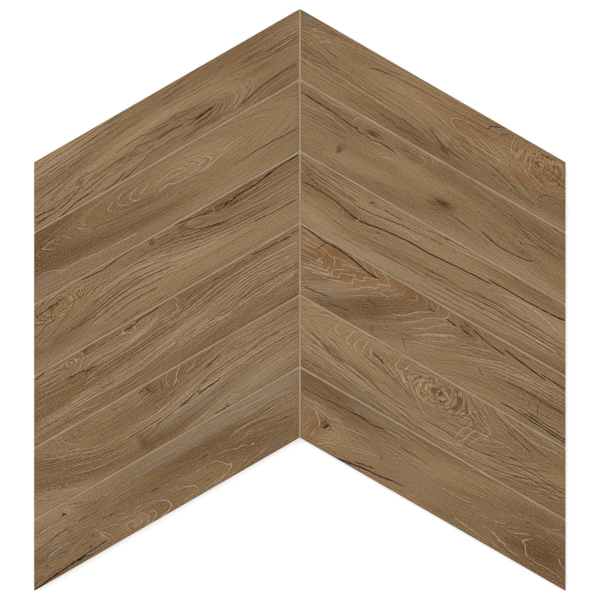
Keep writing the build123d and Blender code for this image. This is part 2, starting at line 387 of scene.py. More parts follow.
PLANKS["plank_left_4"] = dict(
    ring=1.9,
    figure=0.25,
    tone=0.0,
    heart=[(0, -40, 0), (50, -39, 0), (85, -36, 0), (120, -32, 0), (158, -29, 0), (240, -28, 0)],
    lined=[(60, 22, 60, 12, 0.5), (195, 36, 40, 7, 0.4)],
    knots=[(141.7, 3.8, 5, 3.2, 1, 0.45), (191, 4, 6, 3.5, 1, 0.15)],
    cracks=[
        (0.7, (74, 4.3), (70, 3.7), (56, 3.6), (52, 2.5), (44, 2.8)), (0.8, (40, 2.2), (9, 4)),
        (0.8, (8.8, 2.3), (2.2, 2.8)), (0.8, (14, 2), (11.2, 1.5)), (0.5, (49, 4.5), (35.2, 4.3)),
        (0.8, (95.8, 5.8), (90.4, 5)), (0.9, (114, 0), (119, 1.2), (130, 1.5), (137, 3), (146, 3)),
        (0.6, (150, 3), (167, 4)), (0.8, (199, 12), (186, 13.2), (180, 14.5)),
        (0.9, (185, 16.5), (180, 14.5), (175, 14.5)), (0.6, (197, 13.8), (190.5, 12.8)),
        (0.9, (217, 1.7), (209, 0.3)), (0.4, (202, 32), (184, 31.8)), (0.5, (236, 33.5), (216, 34.5)),
        (0.5, (237, 38.8), (206, 38.8), (192, 39.5)), (0.4, (86, 15.5), (66, 11.5)),
    ],
    limed=[
        (0.9, (118, 10), (113, 10), (104.5, 8.8), (103.6, 5.5), (101, 3), (103, 0)),
        (0.8, (118, 7.5), (123, 8.2), (132, 10.7), (155, 13.5), (171, 13.5), (176, 13.8)),
        (0.7, (118, 7.5), (107.2, 5.3)),
        (0.8, (118, 5), (127, 8), (143, 11), (161, 11), (168, 10), (176, 10.5), (183, 13)),
        (0.7, (123.3, 1.5), (123.6, 3.3), (129, 6.4), (131, 8)),
        (0.6, (118, 9.8), (130, 11.3), (155, 15), (174, 15)), (0.8, (118, 12.2), (102, 10.5)),
        (0.7, (104, 10.3), (102, 10)), (0.7, (101, 11.5), (97, 10), (94, 8.2), (84, 6.5), (76, 5.7)),
        (0.8, (118, 14.3), (123, 14.3), (140, 16.5), (152, 16.7), (174, 17.5), (186, 19.8)),
        (0.9, (118, 14), (104, 13.7), (83, 10.2), (65, 7.5), (44, 7), (39, 6.5)),
        (0.8, (118, 15.5), (102, 15.3), (83, 12.5), (60, 9.8), (55, 10), (33, 8.5), (6, 10)),
        (0.8, (80, 15.5), (61, 12.7), (58, 12), (34, 11), (21, 11.8)),
        (0.6, (180, 22.8), (146, 20.3), (100, 18.5), (89, 17.5), (80, 15.5)),
        (0.8, (118, 22.3), (101, 20.5), (91, 20), (70, 16.3), (55, 13.7), (43, 13.3), (31, 14.2),
         (10, 16.5)),
        (0.7, (118, 23.8), (106, 22.3), (79, 20.7), (58, 16), (46, 15.5), (28, 17), (19, 17.3),
         (11, 18.5)),
        (0.7, (81, 24), (70, 21.7), (53, 17.5), (34, 18.2), (11, 20)),
        (0.6, (76, 25.3), (70, 24.2), (58, 20.5), (46, 19), (13, 21.2)),
        (0.7, (82, 26), (77, 27.2), (72, 26.5), (49, 21), (34, 21.7), (15, 22.5)),
        (0.8, (103, 26.5), (89, 25), (84, 25.5)), (0.9, (100, 27.5), (88, 26.8), (81, 28)),
        (0.9, (118, 30.8), (94, 28.5), (76, 29.3), (40, 26.2), (16, 26.7)),
        (0.7, (66, 27.5), (49, 24.7), (16, 25)), (0.7, (64, 30.7), (40, 27.8), (16, 28)),
        (0.9, (48, 30.7), (37, 29), (20, 29)), (0.8, (118, 32.8), (100, 30.7), (68, 30.5)),
        (0.6, (118, 34.3), (73, 32)), (0.7, (58, 39.5), (40, 40)), (0.7, (40.6, 34.3), (24.4, 35.2)),
        (0.6, (107, 37), (101, 37.5)),
        (1.3, (146, 3.6), (143.4, 6), (140, 7), (138, 6), (137, 4), (137.2, 1.5)),
        (0.9, (181, 0.2), (178.8, 2.5), (181, 6.4), (183, 7.5), (186, 10.5), (188, 11.8)),
        (0.7, (179, 6), (168, 5.3)), (0.8, (217, 3.3), (205.4, 4.3)),
        (0.9, (209, 1.5), (198, 3), (191, 1)), (0.8, (189.3, 2.5), (188.7, 4), (189.3, 6)),
        (0.8, (217, 7.5), (205, 8), (195, 7.2)), (0.7, (222, 10), (216, 10), (210, 11), (199, 10.5)),
        (0.7, (221, 13), (204, 14.3), (199, 14)), (0.7, (222, 16.3), (199, 17.9), (195, 18.5), (186, 17)),
        (0.6, (229, 20.3), (218, 19.8)), (0.6, (226, 21.3), (217.2, 21.5)), (0.8, (188, 22.2), (179, 21)),
        (0.7, (201, 26.5), (186, 26.2), (118, 20.8)), (0.7, (202, 28.5), (180, 27.5), (118, 22.2)),
        (0.8, (169, 30.5), (149, 29.3), (127, 25.3), (118, 24.5)), (0.7, (201.7, 31), (179.4, 30.5)),
        (0.8, (202, 32.5), (168, 33.5), (158, 33), (149, 32.7), (118, 27.7)),
        (0.6, (169, 32), (149, 31), (118, 26.2)), (0.7, (135, 35), (118, 32.8)),
        (0.7, (177, 37), (168, 37.5), (161, 38), (149, 37)), (0.6, (204.8, 37), (180, 39)),
    ],
    stains=[
        (60, 28, 60, 12, -0.04, 0, 0.35), (150, 26, 60, 14, -0.02, 0.1, 0.36),
        (212, 34, 34, 9, 0.03, -0.1, 0.50), (92, 3, 22, 5, -0.22, 0.4, 0), (60, 12, 30, 5, -0.05, 0.5, 0),
        (150, 5, 24, 3.4, -0.02, 0.4, 0), (150, 7, 30, 2, -0.12, 0.2, 0), (177, 2, 2, 1.6, -0.5, 0, 0),
        (173, 0.8, 5, 1, -0.4, 0, 0), (140.3, 3, 2.4, 1.4, -0.35, 0.4, 0), (203, 24, 8, 3, -0.04, 0.9, 0),
        (214, 30, 12, 2, 0.04, 0.5, 0), (176, 30, 6, 2.4, -0.2, 0, 0), (72, 36, 26, 3, 0.1, 0.1, 0),
        (110, 40, 14, 1.6, -0.06, -0.7, 0), (35, 35.2, 1.6, 0.7, -0.3, -1.2, 0),
        (212, 12, 14, 8, 0.02, 0.2, 0), (60, 41.6, 60, 0.8, -0.22, 0.3, 0),
    ],
)
PLANKS["plank_left_5"] = dict(
    ring=1.8,
    figure=0.25,
    tone=0.05,
    heart=[
        (0, -41, 0), (60, -37, 0), (96, -31, 0), (121, -26, 0), (146, -24, 0), (183, -25, 0),
        (201, -29, 0), (240, -42, 0),
    ],
    lined=[(60, 12, 60, 9, 0.8), (180, 22, 40, 12, 0.35), (120, 20, 20, 8, 0.5), (60, 30, 60, 9, 0.15)],
    knots=[],
    cracks=[
        (0.6, (115.6, 1.5), (115.3, 4.5), (116.5, 9)), (0.5, (97, 7.3), (92, 6.7), (87, 6.5), (82, 5)),
        (0.5, (79, 3), (74, 1.5)), (0.7, (83.8, 11.2), (69.4, 8)), (0.7, (66, 8.8), (55, 7)),
        (0.6, (37.6, 5.8), (5.2, 5.2)), (0.5, (58, 10), (34, 9.5)),
        (0.5, (54, 14.5), (31, 13), (10, 14.5)), (0.6, (90, 18.5), (79, 16), (52, 14)),
        (0.6, (100, 21), (76, 17.5), (50, 15.8), (36, 14.3), (24, 14.2)),
        (0.6, (96, 23.5), (84, 22.8), (70, 21.3), (40, 20), (20, 19.8), (12, 20.8)),
        (0.9, (112, 25), (93, 21.8)), (0.6, (118, 26.2), (78, 23)),
        (0.5, (118, 31.5), (103, 30.7), (72, 27.5)), (0.5, (118, 36.5), (79, 31.5)),
        (0.5, (74, 36.2), (69, 37.3), (61, 36.5)), (0.7, (94, 42), (80, 42.3)),
        (0.5, (30, 34.5), (22, 33.5), (14, 33.5)), (0.7, (155, 26.2), (149, 26.5), (127, 25.5)),
        (0.5, (149, 28.5), (137, 28.5)), (0.6, (142.8, 31.5), (132, 29.7)), (0.7, (133, 28.5), (118, 26)),
        (0.5, (207, 28), (190, 34), (180, 35.8), (168, 35.5)), (0.4, (211, 14), (194, 18)),
        (0.4, (206, 24), (186, 29.2), (174, 31)), (0.4, (200, 21), (180, 26.5), (168, 27.8)),
        (0.9, (133, 2.7), (128.5, 2)), (1, (126.7, 1.2), (125, 5.8)), (0.9, (123.6, 0.2), (123.5, 2.5)),
        (0.5, (155, 4), (149, 4), (142, 4.5)), (0.8, (144.6, 40.5), (142, 41.5)),
        (0.5, (130, 18.5), (118, 16.5)),
    ],
    limed=[
        (0.8, (107, 0), (111.4, 4.5), (112.2, 9)), (1.1, (97, 0), (103.3, 5), (105, 7.5), (109, 10.5)),
        (0.8, (104.5, 7), (103.6, 9), (105, 12)), (0.9, (85.6, 0), (86, 1.5), (90, 5), (96, 6.5)),
        (0.7, (80.8, 0), (81.6, 1.5)), (0.6, (72, 5.2), (50, 3.5), (41, 4.2)),
        (0.6, (58, 2.3), (50.2, 2.2)), (0.7, (50, 7), (9, 5.8)),
        (0.6, (66, 12), (58, 10), (46, 9), (27, 9)), (0.7, (76, 12.5), (66, 9.5), (54, 7.8)),
        (0.6, (89, 16), (79, 13.3), (70, 12.5)), (0.6, (54, 13.5), (40, 12.3), (22, 12.4), (10, 13.7)),
        (0.7, (92, 20), (79, 17.2), (34, 13.5), (20, 13.8)), (0.7, (118, 21.5), (92, 17.2)),
        (0.9, (102, 23.8), (87, 22), (43, 19.2), (25, 18.8), (13, 19.7)),
        (0.8, (118, 26.8), (106, 25), (84, 23.5), (76, 22.5)),
        (0.7, (118, 27.8), (104, 26), (89, 25), (76, 23.5)), (0.6, (112, 32.8), (84, 29.2)),
        (0.7, (118, 41.5), (94, 37.7), (84, 35.5), (72, 33.5)), (0.6, (110, 41.5), (98, 39)),
        (0.6, (76, 36.7), (72.4, 37)), (0.7, (61, 34.5), (46, 32.5), (28, 31.3), (16, 32)),
        (0.6, (53, 41.5), (43, 41.2), (28, 41.7)), (0.6, (70, 26.5), (44, 25)),
        (0.7, (199.8, 1.5), (199.8, 4), (199, 8)), (0.8, (196, 1.7), (196.2, 4), (195, 8), (191, 10.5)),
        (0.6, (185, 1.5), (184, 4.5), (184.3, 7.5)), (0.6, (204.8, 3.5), (204, 7.3)),
        (0.8, (215, 9.8), (205, 13.5), (194, 16.8), (185, 20.5), (176, 22.8), (162, 23)),
        (0.6, (211, 15.5), (199, 17.8), (180, 25.5), (168, 27)),
        (0.7, (199, 12.5), (191, 14.8), (184, 18.2), (176, 20.2)),
        (0.7, (207, 22.5), (196, 24.8), (185, 28.3), (174, 30.5), (155, 32)),
        (0.6, (200, 29), (190, 32.5), (178, 34.2), (166, 34.2)),
        (0.9, (145, 21), (137, 21.5), (128, 21), (118, 19)), (0.6, (150, 27.5), (137, 27.3), (128, 26.5)),
        (0.7, (150, 1), (142, 1.2), (137, 0)), (0.7, (155.8, 5.5), (145.3, 5.3)),
        (0.7, (151.5, 4), (147, 3.2)), (0.6, (145, 4.8), (134, 3)), (0.7, (139, 9.2), (125.4, 6.7)),
        (0.6, (126.7, 16.5), (118, 14.8)), (0.6, (133, 17.5), (124, 18.2)),
        (0.7, (236, 31.5), (224, 31.5), (215, 32.5)), (0.6, (230, 38.5), (218, 39.5), (213, 41)),
        (0.6, (212, 36), (204, 38.5)),
    ],
    stains=[
        (123, 4.6, 7, 4, -0.2, 0.3, 0), (145, 31.5, 4, 4, -0.2, 0.3, 0), (153, 31, 6, 4, 0.1, 0.3, 0),
        (160, 14, 20, 5, -0.08, 0.2, 0), (110, 4, 12, 6, -0.20, 0.5, 0), (125, 4, 5, 5, -0.40, 0.1, 0),
        (138, 11, 16, 4, -0.14, 0.2, 0), (147.8, 33, 2.4, 5, -0.35, 0, 0), (156, 35, 9, 3, 0.10, 0.1, 0),
        (140, 38, 9, 4, -0.14, 0, 0), (110, 24.6, 16, 2.4, -0.08, -0.6, 0),
        (124, 29, 10, 3, 0.02, -0.8, 0), (187, 4.6, 7, 4, -0.14, 0, 0), (165, 3, 16, 3, 0.06, 0, 0),
        (60, 33, 50, 7, 0.04, -0.7, 0), (100, 32, 14, 4, -0.02, -0.9, 0), (40, 14, 60, 9, 0.03, 0.3, 0),
        (225, 36.4, 14, 2, 0.02, -1.2, 0), (200, 20, 40, 8, 0.02, 0.2, 0),
        (82.9, 41.2, 1.4, 0.9, -0.9, -0.4, 0), (211, 8.6, 0.9, 0.8, -0.6, 0, 0),
        (212.6, 32.7, 0.9, 0.8, -0.6, 0, 0), (182.6, 4.2, 1, 0.7, -0.6, 0, 0),
    ],
)
PLANKS["plank_left_6"] = dict(
    ring=1.9,
    figure=0.15,
    tone=-0.02,
    heart=[
        (0, 36, 22), (76, 37, 12), (104, 37, 8), (126, 37, 5), (145, 37, 2.5), (170, 37, 1.5),
        (240, 33, 2),
    ],
    lined=[(60, 6, 60, 6, 0.3), (205, 18, 30, 5, 0.4)],
    knots=[],
    cracks=[
        (1.3, (241, 42.2), (234, 42), (226, 40.8), (196, 38.5)), (0.9, (198, 38.5), (179, 37.5)),
        (0.8, (205, 39.8), (201, 40), (200, 39.2), (196, 40.5), (191, 41)),
        (1.2, (196.6, 5.2), (195.3, 7)), (0.9, (199, 6.5), (195, 6.5)), (1.4, (191.3, 35), (190.4, 36.3)),
        (0.8, (160.8, 35.3), (158.3, 35.3)), (0.7, (229, 19), (217, 18.2), (208, 16.7), (197, 16.2)),
        (0.6, (191, 2), (185, 3.5), (180, 6)), (0.5, (188, 5.5), (182, 7.5), (174, 9.2), (164, 9.5)),
        (0.7, (173.8, 22.8), (160, 23.5)), (0.7, (136.6, 23.5), (128, 23.5)),
        (0.6, (190, 15.5), (172, 16)), (0.6, (174, 35.6), (173.2, 38), (174.4, 39.5)),
        (0.5, (66, 27.5), (56.4, 29.5)), (0.6, (52.6, 30.2), (50, 30.5)), (0.6, (42, 24), (21.4, 26)),
        (1.1, (25.6, 24.8), (25, 25)), (0.9, (96, 36), (93.4, 35.8)), (0.5, (112.6, 23), (109, 23.5)),
        (0.5, (95, 20.8), (86, 20.5)), (0.4, (50, 8.2), (34, 8.5), (14, 7.5)),
        (0.4, (56, 11.5), (40, 11.5), (20, 10.2)), (0.5, (60, 14.5), (46, 14.8), (28, 13.5)),
        (0.4, (54, 17.5), (42, 18), (24, 16.8)), (0.4, (226, 30.5), (214, 29.5), (206, 29.8)),
    ],
    limed=[
        (0.7, (115, 25.5), (106, 26.5), (87, 26.7)),
        (1, (87, 26.7), (83.4, 27.5), (81, 29.5), (79.4, 32), (77.4, 34)),
        (1.3, (77, 34), (75.2, 34.5), (76, 36), (79.4, 38.5)), (0.9, (79.4, 38.3), (93, 41.5)),
        (0.6, (118, 31), (112, 32)), (1.1, (112, 32), (109, 33.7), (106, 34.6), (104, 37.8)),
        (0.7, (104, 38), (106, 39), (120, 41.5)), (0.8, (83, 24), (77, 24.2), (70, 25.5)),
        (1.1, (70, 25.5), (66, 27.3), (62, 27), (59, 28.5)), (1.4, (56, 30), (54, 29.8)),
        (0.6, (47, 30.5), (43, 30)), (0.7, (101.8, 41.3), (86, 38.2)),
        (0.7, (81, 41.2), (72, 39), (61, 35)), (0.6, (69, 41), (60, 39), (50, 38)),
        (0.8, (53, 37.3), (46, 36.5)), (0.6, (50.8, 9), (10, 6.7)),
        (0.6, (53, 10.5), (40, 10.2), (16, 8.5)), (0.5, (58, 12), (34, 11.7), (11, 10)),
        (0.6, (62, 15.5), (46, 15.5), (14, 13.2)), (0.7, (66, 17), (50, 16.3), (38, 17.3), (25, 16)),
        (0.8, (56, 21), (50, 20.8)), (0.6, (64, 22.5), (49, 22.7)), (0.9, (46, 23.7), (42.4, 23.8)),
        (0.8, (39.6, 24), (37, 24.2)), (0.6, (52, 5.8), (18, 3.5)), (0.9, (92.8, 10.5), (90.4, 10.5)),
        (0.9, (113.8, 22), (111.2, 22.5)), (0.8, (89, 24), (87, 24)), (0.6, (22, 31), (14, 30.5)),
        (1.4, (133, 31.4), (128.4, 33.5), (126.6, 37), (127.4, 39.5), (131, 41.2), (137, 42.3)),
        (1.1, (142, 34.5), (139, 36.5), (139, 38.5), (142, 40.8), (147, 42.5)),
        (0.9, (150, 32), (146.6, 34.5), (145, 37.5), (146.4, 40.5), (150, 42.5)),
        (0.7, (165, 28.5), (156, 30.5), (150.6, 33.5), (149.8, 37.5), (153, 41)),
        (0.7, (157, 34), (161, 35.5), (162, 37.5), (160, 40)),
        (0.6, (151.4, 36), (150.6, 37.5), (152.4, 39)), (0.8, (182.5, 31), (180.7, 33), (180, 35.5)),
        (0.9, (181, 30), (177.2, 37)), (0.8, (184, 25), (175, 35), (173.4, 38), (174, 40.5)),
        (0.6, (176, 28.5), (169, 30.5), (164, 33)), (0.8, (151, 27.5), (145, 28.5)),
        (0.7, (141, 29.5), (134.5, 30.7)), (0.8, (218, 9.8), (206.2, 8.5)),
        (1, (221, 27.2), (211, 25.5), (204, 25)), (0.7, (239.5, 41), (222, 35.8)),
        (0.6, (230, 30.5), (219, 29)), (0.7, (205, 30.5), (197, 29.2), (190, 27)),
        (0.8, (207, 32.2), (202.3, 31.8)), (1.1, (200, 33.3), (199, 33.8)), (0.7, (195, 16), (186, 15.5)),
        (0.7, (190, 13), (184, 12.8)), (0.7, (215, 20.5), (204, 21.5)), (0.7, (230, 24.5), (219, 23)),
        (1, (195, 3.8), (192, 4.5), (190.4, 6)),
    ],
    stains=[
        (155, 37, 9, 4.6, 0.22, -0.2, 0), (30, 4, 36, 6, 0.18, -0.9, 0.3),
        (90, 6, 50, 6, 0.10, -0.6, 0.3), (150, 8, 50, 6, 0.03, -0.4, 0.3), (192, 35, 9, 4, -0.10, 0.5, 0),
        (175, 12, 10, 4, -0.16, 0.4, 0), (110, 18, 60, 5, -0.06, 0.3, 0), (62, 27, 18, 4, -0.16, 0.3, 0),
        (100, 35, 20, 4, -0.12, 0.3, 0), (134, 36, 8, 5, -0.14, 0.4, 0), (40, 37, 20, 4, 0.03, -0.4, 0),
        (192, 5, 4, 2, 0.22, 0.1, 0), (202, 11, 10, 3, 0.16, 0, 0), (214, 24, 18, 8, 0.08, -0.5, 0.35),
        (198.7, 18.8, 1, 0.9, -1.0, -0.6, 0), (159.2, 39.1, 0.9, 0.9, -1.0, 0, 0),
        (185.8, 29.7, 0.8, 0.7, -0.7, 0, 0), (225.3, 32.3, 0.9, 0.8, -0.8, 0, 0),
    ],
)
PLANKS["plank_right_1"] = dict(
    ring=1.9,
    figure=0.25,
    tone=0.02,
    heart=[(0, 11, 13), (24, 12.5, 10), (80, 13, 9), (131, 14, 6), (200, 13, 4), (240, 13, 4)],
    swells=[(165, 30, 34, 9, -7)],
    lined=[
        (60, 5, 55, 5, 0.5), (60, 28, 60, 9, 0.5), (165, 32, 40, 6, 0.6), (204, 12, 26, 13, -0.3),
        (180, 8, 10, 8, -0.35),
    ],
    knots=[(204, 12, 20, 10, 1, 0.05)],
    cracks=[
        (0.8, (63, 12), (65.5, 11.2), (68, 10), (78, 8.5)), (0.5, (76, 8.7), (94, 7.5), (122, 6.5)),
        (0.4, (49, 9.5), (54, 8.5), (66, 7), (85, 6)), (0.6, (25, 14.3), (29, 15), (32, 16), (41, 17.5)),
        (0.5, (24, 19.8), (36, 22.4)), (0.5, (18.4, 23.5), (47.6, 23.3)),
        (0.5, (19, 28), (26, 27), (48, 26.2), (85, 28)), (0.5, (20, 32), (45, 31), (54, 31.5)),
        (0.5, (57, 38), (88, 40.2)), (0.6, (85, 36.8), (122, 39.7)), (0.5, (79, 35.2), (122, 37.7)),
        (0.6, (100.2, 31), (122, 34.5)), (0.4, (80, 18.5), (97, 17), (102, 17)),
        (0.5, (118, 9.2), (143, 7.5), (155, 8)),
        (0.8, (155, 8), (157, 7.5), (158.6, 6), (158.3, 4.8), (167, 1)),
        (0.8, (173, 1.7), (171, 4), (169, 4.8), (167.3, 6.5), (167.6, 8.5)),
        (0.5, (168, 10.2), (166, 11.2), (161, 11.5), (144, 11)),
        (0.5, (143, 11.2), (137, 12), (133.2, 14), (138.5, 17.5), (142, 18.5)),
        (1, (198.3, 10.5), (203.6, 12.8)), (0.7, (207, 12.3), (209, 11), (214, 11.5), (224, 13.5)),
        (0.6, (212.2, 14), (220, 15.8)), (0.9, (219, 15.5), (226, 16.8)), (0.8, (194.3, 7), (196, 5.5)),
        (0.5, (132, 22), (140, 24.7), (144, 23.5), (155, 23.5), (174, 25.5)),
        (0.5, (118, 26), (123, 27.2), (135.4, 33.5), (138, 34), (143, 32.7), (155, 32)),
        (0.6, (118, 27.8), (124, 29), (136, 34.8), (142, 34.8), (149, 34.2)),
        (0.5, (118, 30.3), (124, 31.5), (137, 36), (152, 35.5)),
        (0.5, (118, 34), (124, 35), (130, 36.5), (143, 37.5)),
        (0.5, (145, 29), (148, 27.5), (152, 27), (168, 27.8), (174, 28.7)),
        (0.7, (172, 28.5), (180, 29.8), (199, 35.2)), (0.5, (199, 35.2), (214, 37.7)),
        (0.5, (174, 32), (180, 33.7), (189, 35), (199, 37.7), (217, 40)),
        (0.5, (189, 24.5), (202, 30.5), (212, 32.5)), (0.8, (215, 28.5), (213.5, 30.5), (213, 32)),
        (0.7, (216, 28), (219.7, 27.2)), (0.9, (216, 33), (216.2, 33.5)),
        (0.5, (161.4, 18.3), (173.8, 22)), (0.4, (8, 6.8), (16, 6), (36, 2.5)),
    ],
    limed=[
        (0.6, (24, 9.5), (41, 5), (60, 3.3), (75, 2.5)),
        (0.6, (25, 11.5), (30, 9.5), (51, 6), (72, 4.5), (91, 4.2)),
        (0.9, (30, 10), (26, 11), (24, 12.5), (25, 14.5)), (0.8, (14, 8), (19, 4.7)),
        (0.7, (13, 9), (22.8, 6.5)), (0.7, (8, 12.3), (20, 11), (24, 9.5)),
        (0.6, (8, 17), (14, 18), (20, 18.2), (36, 21.5)),
        (0.6, (23, 23), (33, 23), (51, 22.5), (60, 22.8)),
        (0.7, (41, 28), (51, 28), (82, 29.5), (103, 30.3), (122, 32.5)),
        (0.8, (103, 17), (104.6, 15.5), (108, 14.8), (118, 16), (137, 20.5)), (0.6, (76, 13), (91, 12.5)),
        (0.8, (152, 10.7), (146, 10), (137, 11), (132, 13.5), (135, 17), (142, 19.5), (146, 20),
         (158, 22), (180, 22.8)),
        (0.7, (146, 14), (150, 14.3), (168, 19.5), (186, 24.5)),
        (0.8, (172.4, 2), (170.4, 4.2), (168, 5.2), (166.6, 7), (166.8, 8.5), (168, 9.8)),
        (0.6, (118, 6), (144, 5.8)), (0.8, (177.5, 1.5), (177, 4), (177.8, 6.5), (178, 9), (180.6, 14)),
        (0.7, (182, 1.5), (180.3, 4), (180.3, 7.5), (181.2, 10), (181.2, 13.5)),
        (0.6, (183.7, 3), (182.8, 5.5), (185, 11), (184.7, 14), (186, 16.5), (193.6, 21.5)),
        (0.6, (187.4, 4), (187, 7.5), (188, 10.5), (188.7, 14), (190.5, 16.5), (197, 22)),
        (0.7, (190, 5), (189.6, 7.5), (193.3, 16.5), (199, 21.9), (204, 23.5), (208, 25.5), (214, 27)),
        (0.8, (194.3, 7.5), (194, 10), (195, 11.5), (198, 18), (201, 20), (209, 22.8), (212, 22.5)),
        (0.7, (198, 6.5), (202, 5.1), (210, 8), (212.2, 10.5), (212.6, 13.5), (212, 16)),
        (0.7, (197, 9.8), (202, 7.3), (206, 8.2), (208.5, 10)),
        (0.6, (184, 26.5), (202, 33), (211, 35.5), (217, 38.5)),
    ],
    stains=[
        (204, 14, 18, 7, 0, 0.7, 0), (180, 8, 12, 4, -0.05, 0.4, 0), (152, 13, 12, 2.4, 0, 0.8, 0),
        (90, 9, 40, 3, 0, 0.3, 0), (120, 21, 240, 60, 0.0, 0.28, 0), (146, 14.5, 12, 3, -0.06, 0.8, 0),
        (150, 10, 14, 2, 0, 0.5, 0), (208, 19, 6, 3, -0.2, 1.3, 0), (196, 25, 14, 3, -0.06, 0.9, 0),
        (8, 3, 8, 4, -0.15, -1.2, 0), (15, 25, 5, 3, -0.2, -0.6, 0), (50, 11.4, 6, 2, -0.14, 0.3, 0),
        (118, 12, 14, 3, -0.05, 0.5, 0), (135, 27, 4, 4, 0.20, 0, 0), (139.6, 29.6, 2.4, 3, -0.25, 0, 0),
        (200, 31.6, 14, 2.4, 0.20, -0.5, 0), (150, 38, 50, 3, 0.05, 0, 0), (62, 41, 30, 2, 0.04, 0.1, 0),
    ],
)
PLANKS["plank_right_2"] = dict(
    ring=2.1,
    figure=0.10,
    tone=0.09,
    heart=[(0, -40, 0), (130, -40, 0), (175, -36, 0), (240, -30, 0)],
    lined=[(185, 8, 36, 8, 0.4), (30, 12, 30, 5, 0.3), (150, 38, 50, 5, 0.15)],
    knots=[],
    cracks=[
        (0.9, (4, 6.5), (26, 7.5), (48, 9.4), (52, 9)),
        (0.8, (52, 10.5), (55.6, 10.7), (58, 10.1), (64, 11), (71, 9.8), (79, 10), (84, 11)),
        (0.7, (58, 8.2), (63, 8.2), (67, 7.5)), (0.9, (50, 8.2), (52, 9)), (0.8, (8.2, 8.5), (10.6, 9)),
        (0.8, (96.2, 8), (96, 9.5)), (0.4, (10, 19.5), (29, 17.5), (48, 19.5)),
        (0.4, (10, 16.5), (29, 15.7), (48, 16.5)), (0.4, (17, 20.5), (29, 19.7), (49, 20.5)),
        (0.6, (50.4, 24.5), (49.8, 27), (47, 31.5)), (0.4, (79, 35.5), (97, 34)),
        (0.9, (164, 28), (178, 31), (187, 31.5), (202, 30), (207, 28.5)), (0.6, (138.5, 28.7), (157, 31)),
        (0.4, (157, 31), (173.8, 34)), (0.6, (122, 24), (131, 25.3), (136, 22.5), (137, 22.3)),
        (0.9, (132, 25), (133.6, 24.3)), (0.8, (139.4, 23.5), (141.6, 24)), (0.8, (125, 28.5), (127, 28)),
        (0.8, (191, 20.3), (193, 22), (195, 21), (195.5, 20.5)),
        (0.5, (196, 20.5), (198, 19.5), (207, 18.5)),
        (0.5, (180, 9.5), (208, 13.5), (217, 14.5), (225, 16)),
        (0.6, (182, 12.3), (191, 13.8), (199, 16), (208, 17.2), (223, 17.5)),
        (0.5, (180, 8), (192, 9), (216, 12)), (0.4, (200.5, 18.5), (223, 19.5)),
        (0.5, (148, 7), (155, 7.5), (180, 11.3)), (0.4, (118, 2.7), (127, 2.5), (146, 4.2)),
        (0.4, (137, 1), (149, 1.7), (161, 3), (174, 3.5)), (0.4, (155.2, 17.2), (180, 24)),
        (0.4, (161.4, 16.5), (183, 23.5)), (0.7, (207.3, 0.5), (211, 1.5)),
        (0.5, (125, 32.7), (132, 29.5), (135, 29)),
    ],
    limed=[
        (0.8, (8, 12.5), (14, 13), (30, 11.3), (42, 13.5), (46, 14)), (0.9, (48, 13), (50, 13.5)),
        (0.9, (49, 1), (46.3, 5), (47, 7.5)), (0.8, (54.4, 0.5), (53, 2.5)),
        (0.7, (12, 1), (25, 3), (29, 3), (43, 1)), (0.7, (13, 3.5), (15.6, 4.7)),
        (0.8, (8, 8), (12.8, 8)), (0.8, (57, 6.5), (58.6, 5.5)), (0.8, (60, 9.2), (66, 9.5)),
        (0.7, (100, 4), (103, 4), (105.2, 6.5), (104, 9.2), (102, 10)),
        (0.8, (107, 0.5), (109.6, 2.5), (110.5, 5)), (0.8, (77, 18), (84.8, 15.5)),
        (0.7, (73, 17), (76, 15.7), (77.3, 13.5)), (0.7, (97.2, 14.8), (102.7, 13)),
        (0.8, (103.4, 24.7), (106.4, 23)), (0.8, (192.4, 23), (195, 22)),
        (0.6, (195, 20), (198, 18.8), (207, 18)), (0.6, (184, 10), (206.7, 14.3)),
        (0.5, (197, 14.5), (204, 16.5)), (0.6, (173, 22.2), (182, 25.3)), (0.7, (204.5, 0.5), (214, 4)),
        (0.5, (154, 8.5), (172, 11)),
    ],
    stains=[
        (131, 25, 6, 1.8, -0.7, 0.1, 0), (30, 10, 26, 4, -0.14, 0.2, 0), (88, 14, 10, 3, 0.12, 0, 0),
        (124, 28.6, 4, 1.4, -0.4, 0.1, 0), (63, 7.4, 5, 1.8, -0.5, 0.2, 0),
        (47.5, 28, 1.6, 2.6, -0.5, 0.2, 0), (66, 11, 4, 0.9, 0.25, 0, 0), (30, 5, 26, 3, -0.28, 0.3, 0.0),
        (40, 12, 12, 3, -0.26, 0.3, 0.0), (70, 4, 18, 4, -0.16, 0, 0),
        (63.7, 5.8, 4.4, 2, -0.36, -0.2, 0), (88.6, 5, 4, 1.4, -0.4, -0.4, 0),
        (97.2, 7.4, 5, 3, -0.26, 0.2, 0), (80, 16, 14, 4, 0.12, 0, 0), (100, 13, 8, 4, 0.12, 0, 0),
        (86, 20, 5, 2, -0.22, 0, 0), (132, 25.4, 8, 3.2, -0.42, 0, 0), (140, 18, 12, 4, -0.22, 0, 0),
        (198, 26.4, 12, 2.4, -0.20, 0, 0), (47.8, 28.4, 2, 3.2, -0.34, 0.1, 0),
        (36, 33, 6, 3, -0.16, -0.2, 0), (30, 27, 16, 5, 0.05, 0, 0), (50, 36, 16, 4, 0.10, 0, 0),
        (150, 37, 20, 5, 0.06, 0, 0), (115, 12, 10, 5, -0.04, -0.1, 0),
        (91.6, 28.1, 1.2, 0.8, -0.5, -1.0, 0), (187, 19, 1.4, 1, -0.4, 0, 0), (194, 16, 1, 1, -0.3, 0, 0),
    ],
)
